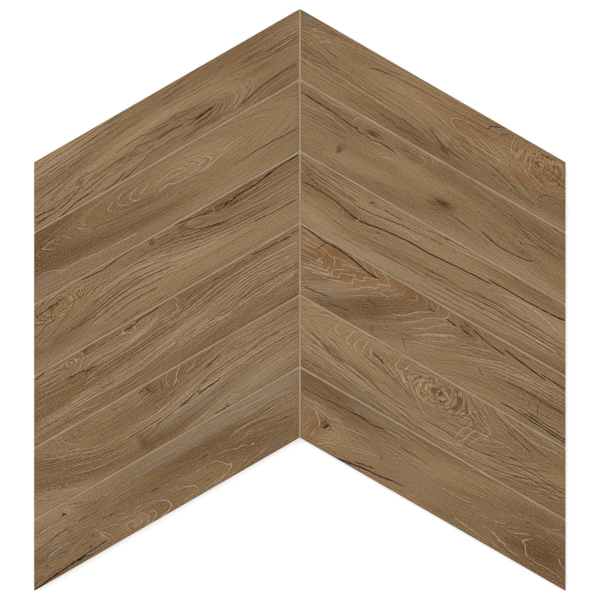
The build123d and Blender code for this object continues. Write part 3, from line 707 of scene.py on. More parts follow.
PLANKS["plank_right_3"] = dict(
    ring=2.2,
    figure=0.2,
    tone=0.1,
    heart=[
        (0, -38.5, 0), (25, -39, 0), (57, -35, 0), (85, -38, 0), (118, -39.5, 0), (163, -42.5, 0),
        (240, -44, 0),
    ],
    lined=[(165, 29, 60, 8, 1.0), (50, 7, 50, 6, 0.4), (150, 4, 60, 4, 0.3)],
    knots=[(54, 20, 7, 2.4, 1, 0.1)],
    cracks=[
        (0.8, (11, 17.5), (17, 16.5), (36, 16.8), (52, 20.2)),
        (1.2, (50, 19.8), (56, 20.5), (64, 20.5), (79, 18), (100, 16.3), (120, 16), (137, 14.5),
         (164, 13)),
        (1.2, (160, 11.2), (204, 10.9), (222, 9.5)), (0.9, (216.2, 9.5), (222, 9)),
        (0.7, (6, 9), (18, 12.5), (22, 14.5)), (0.6, (3, 5.5), (14, 7.6), (26, 8.7), (52, 10)),
        (0.6, (8, 7.5), (18, 10.3), (44, 11), (51, 11.7)), (0.8, (52, 12.5), (61, 12.3), (94, 8)),
        (0.6, (92, 8.5), (120, 6)), (0.5, (0, 1.5), (17, 4.8), (28, 4.8), (44, 4.5)),
        (0.7, (14, 0), (29, 0.5), (46.4, 0), (69, 0.3)), (0.5, (22, 2.2), (41, 2), (60, 2.5)),
        (0.8, (72, 5), (74, 5.5), (87, 5.3)), (1.3, (60, 5.8), (63, 4.5)), (0.5, (105.3, 2), (122, 1)),
        (0.5, (44.5, 23.2), (51, 23.7)), (0.9, (75, 21.5), (76.7, 21.5)), (0.5, (14, 22), (24, 21.5)),
        (0.4, (64, 25), (76, 22.8), (98, 21.8)), (0.6, (118, 0.5), (132, 0.5), (140, -0.2), (153, 0)),
        (0.5, (171, 0.3), (180, 1.5), (208, 1.8)), (0.5, (118, 27.2), (136, 26), (150, 25.8)),
        (0.7, (148, 26), (174, 23.5), (192, 24.5), (205, 24), (230, 25)),
        (0.6, (118, 31), (132, 29.5), (150, 28.8)),
        (0.7, (148, 28.8), (163, 28), (174, 27), (188, 27.7), (233, 28.5)),
        (0.6, (125, 31.8), (152, 31.5), (174, 30.5), (212, 30.3), (233, 31)),
        (0.6, (186, 32.7), (208, 32.8), (226, 33.5)), (0.8, (228.4, 32), (235, 33)),
        (0.5, (78, 34), (100, 33), (122, 32.7)), (0.4, (47, 37.7), (75, 37)),
        (0.4, (118, 39.2), (143, 38.3), (158, 38.5)), (0.5, (196, 39.2), (226, 39.3)),
        (0.4, (118, 35.5), (150, 34.5), (184, 34.2)), (0.7, (164, 16.5), (168.8, 16.5)),
        (0.5, (158, 18.5), (160.8, 18.8)), (0.8, (179.4, 20), (183, 19.8)), (0.8, (221, 21), (223, 21.5)),
    ],
    limed=[
        (0.7, (28, 16.5), (36, 16.5)), (0.8, (42, 17.8), (48.6, 19.5)), (1, (91, 10.7), (104, 12.5)),
        (0.6, (100, 9.5), (107, 10)), (0.6, (108, 12.8), (119, 13.2), (128, 12.5)),
        (0.7, (118, 3), (127, 4), (150, 2.3), (168, 2.2)),
        (0.9, (172, 16), (189, 13.5), (197, 13.5), (212, 16.3), (221, 19.5)),
        (0.7, (178, 19.5), (189.3, 19), (219, 21.2)), (0.9, (156.4, 9.5), (160.8, 9.5)),
        (0.9, (168, 31.5), (185, 31.8), (220, 31.5), (233, 32)), (0.6, (118, 31.8), (136.6, 32.2)),
        (0.6, (97, 32), (118, 31.5)), (0.6, (178, 28.3), (218, 28.8)),
        (0.6, (174, 24.7), (192, 25.5), (212, 25.3), (230, 26)), (0.6, (205, 33.5), (226, 34.5)),
        (0.6, (161.4, 38.5), (195.5, 38.5)), (0.5, (70, 28), (84, 27)), (0.6, (36, 29), (52, 28.5)),
    ],
    stains=[
        (26, 19.6, 20, 2.4, -0.10, 0.9, 0), (54.4, 22, 3, 2.2, -0.30, 0, 0),
        (53, 16.4, 4, 3, -0.18, 0.1, 0), (20, 6, 30, 6, -0.12, 0.2, 0), (64, 6, 3.4, 1.4, -0.2, 0.9, 0),
        (96, 11, 12, 2, 0.12, -0.8, 0), (110, 14.4, 40, 1.8, 0.06, 0.3, 0), (170, 30, 60, 9, 0.08, 0, 0),
        (150, 37, 60, 4, 0.06, -0.7, 0), (140, 20, 40, 4, 0.05, 0.5, 0), (190, 6, 40, 4, -0.08, 0.6, 0),
        (210, 17.4, 16, 2.4, -0.10, -0.3, 0), (30, 39, 40, 3, -0.08, -0.2, 0),
        (80, 38, 40, 5, 0.02, -0.1, 0), (129.4, 6.2, 0.8, 0.7, -0.6, 0, 0),
        (92, 21.8, 14, 1.4, -0.06, -1.0, 0),
    ],
)
PLANKS["plank_right_4"] = dict(
    ring=2.9,
    figure=0.12,
    tone=0.02,
    heart=[
        (0, 3, 3, 0), (50, 5, 3, 30), (120, 6, 3, 72), (145, 7, 3, 84), (165, 7, 3, 88), (240, 8, 3, 92),
    ],
    swells=[(42, 16, 13, 6, 2.5)],
    lined=[(205, 34, 30, 6, 1.3), (34, 37, 26, 5, 0.4), (130, 22, 50, 12, 0.5)],
    cracks=[
        (1.2, (1, 0.2), (8, 0.5), (20, 2), (31, 1.5), (45, 3), (58, 5.5), (67, 5.5)),
        (0.9, (21.4, 2.5), (18.8, 9)), (1.2, (109, 6.2), (113, 6)), (1.1, (123, 6.3), (131.5, 7)),
        (1.1, (133.6, 5.2), (136.6, 6.5)), (1.1, (137, 7), (145, 7.8)), (0.9, (135, 2.2), (141, 3)),
        (1, (144, 3.5), (158, 6.5), (172, 7.5)), (1.1, (170, 4.5), (206, 8.8)),
        (1.1, (201, 6.5), (222, 7.5)), (0.8, (171, -0.2), (175, 0.5)), (0.8, (182, 1.5), (189, 2)),
        (0.8, (22, 37), (44, 34.2)), (0.8, (46, 38), (60, 36)), (0.7, (66, 21.5), (76, 23.5)),
        (0.8, (182, 23.8), (199, 22.5), (229, 23)), (0.7, (203.4, 26.5), (205, 32)),
        (0.7, (209.4, 26), (212.6, 33)), (0.8, (181, 28.2), (182, 29.5)), (0.7, (219, 29), (220.4, 32)),
        (0.7, (160, 25), (165, 28)), (0.7, (103, 34), (108, 39)), (1, (200, 36.5), (240, 38.5)),
        (0.9, (186, 38.5), (200, 38.2), (242, 40.5)), (0.8, (206, 35), (236, 36)),
    ],
    limed=[
        (0.8, (39.3, -1), (47, 2.5)), (0.8, (49, 0.2), (57, 4), (58.4, 5)),
        (0.9, (57.4, -1), (60.5, 1.8), (66.2, 5.5), (65, 7.2), (63, 7.5), (57, 10.2), (59.4, 11.3),
         (57, 13), (53, 13.8), (51, 15), (51, 16), (52.5, 17.5), (51.6, 18.5), (41, 22), (37, 23.5),
         (31, 24.5)),
        (0.9, (65, -1), (70, 1.5), (73, 2.5), (74.6, 4.5), (76.4, 5.5), (75.4, 6.5), (69, 8.5),
         (68.4, 9.5), (69, 12), (60.2, 16), (59, 18.5), (52.5, 22)),
        (0.8, (74.4, 9.5), (73.3, 13.3)), (0.8, (80, 13), (72, 14.5), (67.6, 16.5), (65, 19)),
        (0.8, (1.2, 1.7), (15, 3.5)), (0.8, (4, 6.8), (23, 6.8), (29, 8.5), (33, 9), (35, 13)),
        (0.8, (31, 8), (34, 7.5), (47, 6.5)), (0.8, (6, 9.7), (21, 9), (25, 9.9), (25.4, 12)),
        (0.8, (7, 13), (19, 12.7), (22, 13.5)),
        (1, (24, 12.1), (24.2, 13.5), (23, 15), (24, 15.5), (26, 15.2), (26.8, 16), (26, 17.5),
         (25.4, 17)),
        (0.8, (10, 18), (13, 17), (25, 16.2)), (0.8, (12, 20), (16, 18.7), (24, 18.3), (26, 17.7)),
        (0.9, (15, 23), (21, 21), (31, 19.5), (32.6, 19), (32.4, 16.5), (33, 15.5)),
        (0.9, (16, 25.5), (24, 23), (33, 21), (35, 19.7), (37, 19.3), (35.7, 17), (39, 13.8),
         (44.3, 12.1), (45, 11.3), (44.3, 10.5), (44.3, 10)),
        (0.9, (22, 25.5), (39, 20.2), (42.4, 19), (41, 16), (46, 14), (51.6, 12.3), (51, 11.3), (50, 11)),
        (0.8, (39, 9.5), (50.8, 6.5), (52.5, 5)), (0.7, (40, 10), (41.4, 11.3)),
        (0.7, (49, 9), (56.6, 6.5), (57.4, 5)), (0.7, (33.2, 3), (34, 4.3)),
        (0.7, (82, 5.2), (80.6, 6.5), (80, 8), (78, 9)),
        (0.7, (87, 2.5), (87.8, 4), (86.6, 7), (81, 11), (80.2, 13.5), (78.6, 16.5)),
        (0.8, (94, 0.9), (97.4, 3.5), (97.6, 5.5), (92.5, 8)),
        (0.7, (101, 0.5), (103, 2), (105.8, 3), (104.6, 5.5)), (0.7, (108, 2), (110, 3.5), (109.5, 5)),
        (0.8, (112, -1), (114, 1), (114, 3), (115, 5.5)),
        (0.9, (111, 7.5), (102, 12.7), (95.6, 19), (88, 22.5)),
        (0.9, (127, -1), (123, 1), (122.4, 2), (123.2, 4), (122.4, 6), (119, 7.8), (109.5, 13.5),
         (106.6, 17), (102.5, 20), (101.3, 21.5), (98.4, 23), (97, 24)),
        (0.9, (130, 5.5), (125, 9.5), (122, 10.5), (121.4, 12.7), (119.3, 13.5), (118.5, 14.8),
         (116.5, 16), (116, 17.5), (113, 19.5), (105, 24)),
        (0.8, (137, 13.5), (134, 13.8), (127, 16.5), (125, 18.5), (122, 19.1), (114, 23.5)),
        (0.8, (145, 0), (149.5, 2.3), (150.7, 4), (150.5, 7), (151, 8), (149.7, 10.5)),
        (0.8, (160, 10.5), (153, 13), (144, 17.5), (139, 18.7)),
        (0.8, (129, 26), (117, 30), (113, 30.8), (108, 33)), (0.7, (91, 32.5), (86, 34.3)),
        (0.8, (224, 9.7), (213, 10), (209, 11), (197, 12), (180, 12.5), (170.2, 14), (168, 15),
         (142, 25)),
        (0.8, (226, 13.5), (201, 13.8), (193, 14.5), (187, 14.8), (170, 16.5), (153, 22.5)),
        (0.8, (226, 15.5), (195, 15.5), (178, 17.5), (168, 19.7), (157, 24)),
        (0.7, (227, 18.5), (219, 17.7), (199, 17.5), (187, 19), (178, 19.5), (170, 22), (152, 28)),
        (0.7, (228, 20.5), (199, 20), (178, 22.5), (158, 28)),
    ],
    stains=[
        (35, 11, 34, 9, -0.18, 1.3, 0), (70, 3, 40, 4, -0.12, 0.9, 0), (130, 2, 30, 3, -0.12, 0.6, 0),
        (125, 22, 40, 10, 0, 0.15, 0.52), (185, 14, 40, 8, 0, 0, 0.52), (60, 25, 36, 8, 0, 0, 0.40),
        (190, 34, 40, 7, 0, 0, 0.25), (38, 33, 18, 4, 0.05, -0.9, 0), (74, 27, 9, 6, -0.16, 0, 0),
        (140, 6, 6, 3, -0.25, 0.2, 0), (80.6, 38.4, 1.4, 1.4, -0.6, -0.4, 0),
        (146, 10, 7, 3, -0.14, 0, 0), (190, 16, 34, 5, 0.04, 0.3, 0), (196, 28, 16, 4, 0.12, 0, 0),
        (140, 35, 40, 6, -0.05, 0, 0),
    ],
)
PLANKS["plank_right_5"] = dict(
    ring=1.7,
    figure=0.25,
    tone=0.0,
    heart=[
        (0, 9, 15), (33, 10, 10.5), (64, 11, 6.5), (90, 11.5, 3.5), (120, 11.5, 2), (145, 14, 4),
        (165, 18, 9), (190, 16, 13), (240, 8, 18),
    ],
    lined=[(60, 28, 60, 9, 0.8), (190, 30, 36, 9, 0.7), (120, 12, 24, 9, -0.3), (170, 6, 20, 6, 0.4)],
    knots=[(120.2, 10.6, 22, 9.5, 1.4, 0)],
    limed=[
        (0.8, (6, 6), (13, 4), (16.6, 2), (20, 0.5)), (0.7, (2, 10), (12, 7.5), (16, 5)),
        (0.6, (19, 4.5), (24, 2)), (1.1, (32.7, 2.5), (32.4, 7), (34, 8.8), (38, 10)),
        (0.8, (33.3, 2.7), (37, 2.5)), (1.1, (30, 5), (31, 5)),
        (1.1, (47, 2.2), (44.2, 2.5), (44.2, 6), (42.8, 8.5), (43.4, 11), (46, 13)),
        (1.3, (51, 5), (53, 5.5)), (1.1, (50, 6.1), (51.3, 8), (49.5, 9.5), (51, 11.8), (54, 13.5)),
        (1.1, (56.6, 2.5), (56.3, 4), (57.2, 6), (56.3, 10), (58, 14.5)),
        (1.2, (61, 7), (62.8, 8), (62.2, 9), (64, 9.9)), (0.7, (65, 10.2), (79, 14.5)),
        (1.1, (63, 10.5), (64, 11.5), (63, 13)), (1, (77.4, 9.5), (78.6, 11.3), (88.5, 16)),
        (1, (82.6, 2.5), (83, 5), (82.3, 7.5), (84, 10), (88.6, 12.5), (100, 19)),
        (1, (91, 3), (90.4, 7.5), (88.2, 9.5), (90, 11.7), (96, 16.5)),
        (0.8, (107, 3.5), (100, 5), (95, 6.5), (94, 9.5), (98.4, 14.5), (113, 26), (121, 29)),
        (0.9, (107, 6.7), (103.4, 8), (99.8, 12.5), (103, 15.1), (107, 18.5), (114, 20.2), (122, 20)),
        (0.7, (112, 8), (107, 10), (104, 12.5), (106, 16), (109, 18)),
        (0.6, (112, 14.8), (116, 17), (121, 17.2)), (0.7, (65, 4), (72, 3.5), (81, 2.3)),
        (0.7, (92.2, 3), (106, 1)), (0.8, (32, 28.5), (37, 28), (48, 30), (60, 30.5), (79, 32.5)),
        (0.6, (19, 28.5), (32.7, 28.3)), (0.7, (20, 30.5), (36, 31.7), (74, 35.5)),
        (0.8, (54, 32), (66, 33), (103, 39), (117, 41)), (0.9, (98, 34), (110, 36), (122, 37.3)),
        (0.6, (38.3, 38), (55, 39.2)), (0.6, (33, 40.2), (39, 39.5)), (0.6, (79, 39), (100, 42.2)),
        (0.5, (8, 12.5), (24, 12.7), (33, 14)), (1, (22.2, 14.3), (24, 14.5)),
        (0.5, (17, 9.8), (32.7, 9)), (0.7, (29, 11.3), (38, 12.5), (52, 18)),
        (0.7, (45, 12), (49, 13.5), (56, 15)), (0.7, (65, 16.5), (74, 17.2)),
        (1, (118, 7.3), (122, 7.5), (126.4, 9.3), (129, 12), (128, 14.5)), (0.6, (116, 5.5), (124, 6.3)),
        (0.6, (132.6, 1.5), (137, 6), (139, 10.5), (138, 15), (135, 17.5)),
        (0.7, (135, 0.5), (139.4, 4), (142, 9)), (1, (142, 11), (140.4, 16.5)),
        (0.9, (143.5, 7), (144.5, 10.3)), (0.8, (146.4, 7), (147.5, 10)),
        (0.9, (145.3, 11.5), (144.4, 15.5), (142, 20)), (0.7, (138.5, -0.5), (146, 4.2)),
        (1.2, (148.4, 16), (150, 18.2), (149, 20.5), (146.5, 23), (145.7, 27.5), (144.4, 31)),
        (1, (166, 20), (156, 20.5), (153.4, 22), (151.4, 29.5)),
        (1.2, (153.4, 22), (152, 26), (151.4, 29.5), (148.4, 32.5)),
        (1.1, (167, 22), (161, 22.5), (158.8, 25), (155.5, 32)),
        (1, (158, 14.5), (165.4, 16.5), (163, 19.5)), (0.7, (149, 10.7), (157.7, 14.2)),
        (0.7, (155, 11), (165, 14.9)), (0.8, (168, 21.3), (172, 19.5), (181, 19.2), (186, 19.7)),
        (0.7, (166, 29.5), (184, 25.7)), (0.6, (180, 32.8), (199, 31.5), (212, 31.5)),
        (0.6, (185, 28.7), (199, 27.5), (212, 28)), (1, (118, 37), (129, 38), (140, 37.7), (153, 34.5)),
        (0.7, (118, 32.8), (139.7, 32.5)), (0.6, (124, 35), (134, 36.5), (143, 35.8)),
        (0.6, (149, 37.7), (163, 35.2), (177, 33.5)), (0.8, (172, 42.3), (176.3, 40.2), (177.6, 39)),
        (0.7, (158, 0), (168, 3.6), (180, 7.5)),
        (0.8, (161, -0.5), (174, 3.5), (189, 6.5), (197, 7.3), (208, 5.8), (220, 6)),
        (0.7, (185, 12.5), (193.6, 15)), (0.6, (120, 23.5), (134, 21.5)), (0.6, (128, 29.5), (134, 26.8)),
        (0.7, (138.6, 29.5), (140, 25.5)),
    ],
    cracks=[
        (1, (64, 9.2), (71, 10.3), (75, 12)), (0.9, (65.4, 9.5), (68, 10.2)),
        (0.5, (84, 9), (94, 9.2), (101, 10)), (0.6, (56.3, 0.3), (84, 0)),
        (0.8, (29, 22), (33, 22.3), (38, 24), (50, 25)), (0.5, (35.2, 19.7), (41, 21.5)),
        (0.6, (32, 15), (36.4, 15.4), (40, 17)), (0.5, (14, 19.5), (24, 19), (32, 19.5)),
        (0.5, (16, 23.8), (27, 23.5)), (0.7, (60, 25.3), (72, 27), (85, 30.3), (104, 31)),
        (0.5, (54, 23.8), (66, 24.5), (78, 26.8)), (0.5, (40, 26.2), (70, 29)),
        (0.6, (97, 33.7), (104, 34), (110, 35.2), (122, 36.5)), (0.6, (23, 37.5), (38, 37), (63, 40.5)),
        (0.8, (70, 18.5), (71.8, 18.2)), (0.6, (6.4, 6), (9, 6)), (0.5, (58, 13.5), (80, 16.5), (92, 20)),
        (0.5, (78, 12.5), (88, 16.5), (104, 23.5)), (0.4, (46, 31), (90, 36.5)),
        (0.4, (100, 36.5), (118, 39.5)), (0.8, (116, 26), (117, 26)),
        (0.9, (120, 14.3), (123, 14.7), (126, 14)), (0.7, (109, 9), (111.4, 11.5), (111.6, 13.5)),
        (0.8, (150, 19.5), (153.7, 20)), (0.5, (149.6, 16), (155, 19)),
        (0.6, (171, 27.5), (181, 26), (190, 24), (205, 24), (217, 25.3), (230, 25.5)),
        (0.7, (171, 30.5), (183, 29.5), (200, 26.8), (232, 28.2)),
        (0.6, (172, 32.7), (189, 31.8), (203, 30.7), (233, 32)), (0.5, (152, 33), (173.8, 31)),
        (0.6, (118, 31.8), (145, 31.3)), (0.6, (118, 38), (130, 38.7), (140, 38.5)),
        (0.5, (155, 40.8), (200, 34)), (0.5, (190, 37.5), (206, 35.5), (228, 35)),
        (0.5, (128, 25.5), (144, 25.3)), (0.6, (177, 6), (199, 10.7), (214, 11.5)),
        (0.7, (174, 9.2), (197, 14.5)), (0.5, (213, 13), (223, 13)), (0.6, (204.2, 0), (215, 0.5)),
        (0.5, (158, 2.5), (180, 8.5)), (0.5, (166, 0), (176, 3), (190, 5.5)),
        (0.5, (178, 0.5), (188, 2.5), (200, 3)), (0.6, (131, 14.5), (133.6, 15.2)),
        (0.5, (124, 21.5), (134, 19.8), (140, 17)),
    ],
    stains=[
        (112, 12.4, 3, 1.4, 0.1, 0, 0), (122, 9, 13, 6, -0.16, 0, 0), (34, 22.6, 11, 3, -0.2, 0.1, 0),
        (60, 23, 12, 2, -0.16, 0.1, 0), (119, 10.2, 4, 2.6, -0.35, 0, 0), (122.4, 12.9, 3, 1, 0.30, 0, 0),
        (66.8, 9.8, 2.2, 0.9, -0.5, 0, 0), (70, 35, 40, 5, 0.10, -0.5, 0.05),
        (40, 22, 16, 4, -0.16, 0.2, 0), (50, 7, 30, 4, -0.02, 0.5, 0), (134, 9, 12, 7, -0.10, 0, 0),
        (190, 24, 34, 12, 0.05, 0.2, 0), (172, 23, 10, 2.4, 0.08, 0.5, 0), (25, 30, 12, 8, 0.04, -0.2, 0),
        (82, 24, 20, 4, -0.08, 0, 0),
    ],
)
PLANKS["plank_right_6"] = dict(
    ring=1.9,
    figure=0.08,
    tone=-0.07,
    heart=[
        (0, 28, 2), (20, 28, 5), (32, 28.5, 8), (60, 30, 15), (110, 30, 20), (170, 28, 16),
        (197, 27.5, 9), (240, 27.5, 5),
    ],
    lined=[(40, 20, 34, 5, 0.25), (220, 12, 16, 5, 0.3)],
    knots=[(35.6, 26, 4, 3, 1, 0.3)],
    cracks=[
        (1.3, (54, 42.5), (74, 39.2), (85, 38.5), (97, 36.5)), (0.8, (97, 36.5), (107, 36)),
        (0.9, (66, 38), (81, 35.5)), (1.4, (35, 28.5), (35.8, 26.5), (38, 24.5)),
        (0.8, (36.8, 27.5), (37.4, 25.5)), (0.7, (7, 11), (20, 10.7), (35, 9.5), (48, 9)),
        (0.9, (46, 9), (60.6, 8.5)), (0.8, (62, 9.5), (70, 8.5), (74, 7)),
        (0.5, (74, 7), (80, 6.2), (90, 6.5)), (0.8, (8, 12.5), (10, 12.5)), (0.8, (88.5, 13), (98, 13.2)),
        (0.5, (98, 13.2), (112, 13.5)), (0.9, (90, 20), (91, 20.3)), (0.5, (30, 13.5), (60, 12.5)),
        (0.5, (10, 14.5), (26, 14.5)), (0.5, (12, 18.5), (24, 19.2), (34, 21.5)),
        (0.5, (171, 31.5), (177, 32.2)), (1.2, (146, 37.5), (146.8, 37.5)),
        (0.5, (139, 36.5), (146, 37.2)), (0.5, (227.6, 24), (229, 26.8), (232, 28)),
        (0.4, (184, 37), (191, 38.8), (201, 39.8)), (0.5, (124, 19.5), (125, 19.2)),
        (0.5, (192, 13.8), (196, 14.5)),
    ],
    limed=[
        (1.1, (22, 20.2), (25, 21.5), (30, 25.9), (31.5, 27.5), (30.6, 29.5)),
        (0.7, (13, 19.7), (21.6, 20.2)), (0.7, (30.6, 29.5), (29, 38)),
        (0.8, (12, 16.5), (23, 16), (31, 16.5)), (1.1, (20, 18), (34.6, 20.3)),
        (0.7, (12, 17.5), (20, 18)), (0.9, (36, 20.5), (38, 19.5), (45, 17.7)),
        (0.8, (38, 24.5), (39.6, 23), (55, 19.8), (67, 18.7)),
        (0.8, (31.5, 33), (31, 35.8), (29.6, 38.5)), (0.8, (22, 29), (23, 30.8), (21, 33.5)),
        (0.7, (25.3, 30.5), (25.3, 32.5), (23.7, 38)), (0.6, (27.8, 33.5), (25.3, 40.8)),
        (0.9, (36, 41.4), (42, 36.5), (50, 34)), (0.7, (50, 34), (57.5, 30.9), (68.1, 28.1), (80, 26.5)),
        (0.7, (56, 33.5), (64, 31), (73, 29)), (0.7, (41, 41.4), (43.3, 38.5), (47, 37)),
        (0.9, (71, 8.2), (76, 7.2), (90, 7.3)), (0.6, (94, 11.3), (103, 10)),
        (0.6, (65, 15.5), (77, 14.5)), (0.7, (79, 16.3), (114, 15.7)), (0.6, (53, 17.5), (65, 17)),
        (0.7, (87.3, 18.5), (113, 18)), (0.9, (92, 20), (94, 20.5)),
        (0.7, (109.6, 33), (112, 32), (114.5, 33), (114.6, 35.5), (112.7, 38.5), (110, 39.9)),
        (0.6, (36, 6.2), (50, 5.5)), (0.6, (48, 7.5), (58, 6.5)), (0.6, (40, 12.5), (48, 12.8)),
        (0.6, (82, 10.5), (70, 11)), (0.8, (166.4, 32), (172, 31.8)),
        (1.4, (172, 31.8), (180, 33.5), (183, 35)), (1.2, (182, 35.6), (185, 35), (187, 35.3), (190, 37)),
        (0.9, (190, 37), (194, 38), (200, 38.5)), (0.7, (203.6, 22.5), (201, 24)),
        (1.4, (201, 24), (198, 26.5), (198.6, 27.5)),
        (1.1, (197, 27.5), (201, 29.5), (203, 33), (206.4, 35.5)),
        (0.8, (206, 35.3), (214, 36), (225, 35.5), (236, 37)),
        (0.9, (184, 26.8), (191, 25), (196, 22.5), (200, 21.5)),
        (0.9, (171, 25.3), (175, 24.7), (181, 23)), (0.8, (187.4, 22), (190, 21.5)),
        (0.9, (147, 37.5), (167, 39)), (0.7, (167, 39.2), (183, 39.8)),
        (0.6, (155.2, 40.5), (177.5, 41.7)), (1, (118, 19.5), (122.6, 19.2)),
        (0.9, (118, 13.2), (121, 13)), (0.6, (118, 17.5), (129, 16.5)), (0.7, (142, 16), (161, 14.8)),
        (1.2, (124.3, 10.5), (125, 10.5)), (0.7, (126, 21.5), (131.6, 21.5)),
        (0.7, (128, 23), (140, 23.5), (158, 21)), (0.8, (152, 24.5), (159, 24)),
        (0.7, (163, 26), (170.7, 25.3)), (0.9, (212, 10), (214, 8.5), (217, 7.5)),
        (0.8, (208.5, 11.5), (211, 13.5)), (1.1, (226, 25), (227.3, 26.8), (231, 28.7)),
        (1.3, (232, 29.3), (233, 29.9)), (0.6, (202, 18.5), (213, 18.8)), (1, (223, 21.4), (224, 21)),
        (0.6, (163, 15), (177, 13.5)), (0.6, (184, 12.5), (194, 11.2)), (0.6, (150, 9.5), (156, 8.8)),
    ],
    stains=[
        (35.6, 25.6, 2.4, 3.4, -0.5, 0.1, 0), (30, 33, 3, 7, -0.35, 0.4, 0),
        (40, 22.4, 3, 1.6, -0.3, 0.1, 0), (214, 30, 14, 6, -0.14, 0.1, 0), (33, 25, 4, 4, -0.36, 0.3, 0),
        (28, 33, 8, 7, -0.16, 0.7, 0), (22, 24, 8, 4, -0.10, 0.5, 0), (32, 12, 34, 3, -0.10, 0.6, 0),
        (60, 4, 24, 3, 0.08, -0.8, 0.05), (222, 28, 18, 5, -0.26, 0.2, 0),
        (192, 32, 10, 3.4, -0.22, 0.2, 0), (200, 18, 14, 4, -0.10, 0.3, 0),
        (132, 39.6, 14, 2, -0.16, 0.4, 0), (75, 33, 24, 3, -0.03, 0.2, 0), (150, 12, 50, 8, 0.04, 0.2, 0),
        (130, 28, 40, 6, 0.02, -0.5, 0), (210, 12.6, 5, 1.6, 0.22, 0, 0),
        (218, 10.4, 6, 3, 0.06, -1.0, 0), (81.4, 26.5, 1, 0.9, -1.0, -0.6, 0),
        (91.6, 31.4, 1, 0.7, -0.6, 0, 0), (112, 6.5, 0.8, 0.8, -0.6, 0, 0),
        (43.8, 16.3, 1, 0.7, -0.6, 0, 0), (8, 5, 8, 5, -0.06, -0.2, 0),
    ],
)


def ripple(u, v, reach_u, reach_v, seed):
    """Smooth noise from -1 to 1 that changes over reach_u along a plank and reach_v across it."""
    size = 64
    table = np.random.default_rng(seed).uniform(-1, 1, (size, size))
    x, y = u / reach_u + size, v / reach_v + size
    i, j = np.floor(x).astype(int), np.floor(y).astype(int)
    f, g = x - i, y - j
    f, g = f * f * (3 - 2 * f), g * g * (3 - 2 * g)
    i0, i1, j0, j1 = i % size, (i + 1) % size, j % size, (j + 1) % size
    low = table[j0, i0] * (1 - f) + table[j0, i1] * f
    high = table[j1, i0] * (1 - f) + table[j1, i1] * f
    return low * (1 - g) + high * g


def pushed(values, u, v, waves, seed):
    """The values with layers of unevenness added, read at the places (u, v)."""
    for push, reach_u, reach_v, number in waves:
        values = values + push * ripple(u, v, reach_u, reach_v, seed + number)
    return values


def smooth_step(x, low, high):
    """0 below low and 1 above high, with an even rise between them."""
    t = np.clip((x - low) / (high - low), 0, 1)
    return t * t * (3 - 2 * t)


def soft_patch(u, v, at_u, at_v, length, width):
    """A patch that is 1 in its middle and fades out evenly."""
    return np.exp(-(((u - at_u) / length) ** 2) - ((v - at_v) / width) ** 2)


def bent_line(points, parts=4):
    """A smooth curve through the points, as more points: a Catmull-Rom spline."""
    points = np.array(points, float)
    before = np.vstack([2 * points[0] - points[1], points[:-2], points[-2:-1]])[: len(points) - 1]
    after = np.vstack([points[2:], 2 * points[-1] - points[-2]])
    curve = []
    for t in np.arange(parts) / parts:
        a, b, c, d = before, points[:-1], points[1:], after
        curve.append(
            b + t * (c - a) / 2 + t**2 * (a - 2.5 * b + 2 * c - d / 2)
            + t**3 * (d - a + 3 * (b - c)) / 2
        )
    curve = np.stack(curve, axis=1).reshape(-1, 2)
    return np.vstack([curve, points[-1]])


def nearest_line(u, v, lines):
    """Distance to the nearest of the lines, with and without its sign, and that line's width."""
    nearest, signed = np.full_like(u, FAR_AWAY), np.full_like(u, FAR_AWAY)
    widths = np.zeros_like(u)
    for width, *points in lines:
        points = bent_line(points)
        steps = np.hypot(*np.diff(points, axis=0).T)
        starts = np.concatenate([[0], np.cumsum(steps)])
        for (u0, v0), (u1, v1), step, start in zip(points, points[1:], steps, starts):
            close = (u > min(u0, u1) - LINE_MARGIN) & (u < max(u0, u1) + LINE_MARGIN)
            close &= (v > min(v0, v1) - LINE_MARGIN) & (v < max(v0, v1) + LINE_MARGIN)
            off_u, off_v = u[close] - u0, v[close] - v0
            go_u, go_v = (u1 - u0) / step, (v1 - v0) / step
            along = np.clip(off_u * go_u + off_v * go_v, 0, step)
            away = np.hypot(off_u - along * go_u, off_v - along * go_v)
            end = np.minimum(start + along, starts[-1] - start - along)
            better = away < nearest[close]
            spots = tuple(part[better] for part in np.nonzero(close))
            nearest[spots] = away[better]
            signed[spots] = (away * np.sign(go_u * off_v - go_v * off_u))[better]
            taper = END_WIDTH + (1 - END_WIDTH) * smooth_step(end, 0, LINE_TAPER)
            widths[spots] = (width * taper)[better]
    return signed, nearest, widths


def smooth_path(u, points, column):
    """One value of a row of points along the plank, without corners."""
    points = np.array([(*point, 0.0)[:4] for point in points])
    spots = np.arange(*HEART_SPAN)
    window = np.hanning(HEART_ROUNDING)
    sharp = np.interp(spots, points[:, 0], points[:, column])
    return np.interp(u, spots, np.convolve(sharp, window / window.sum(), mode="same"))


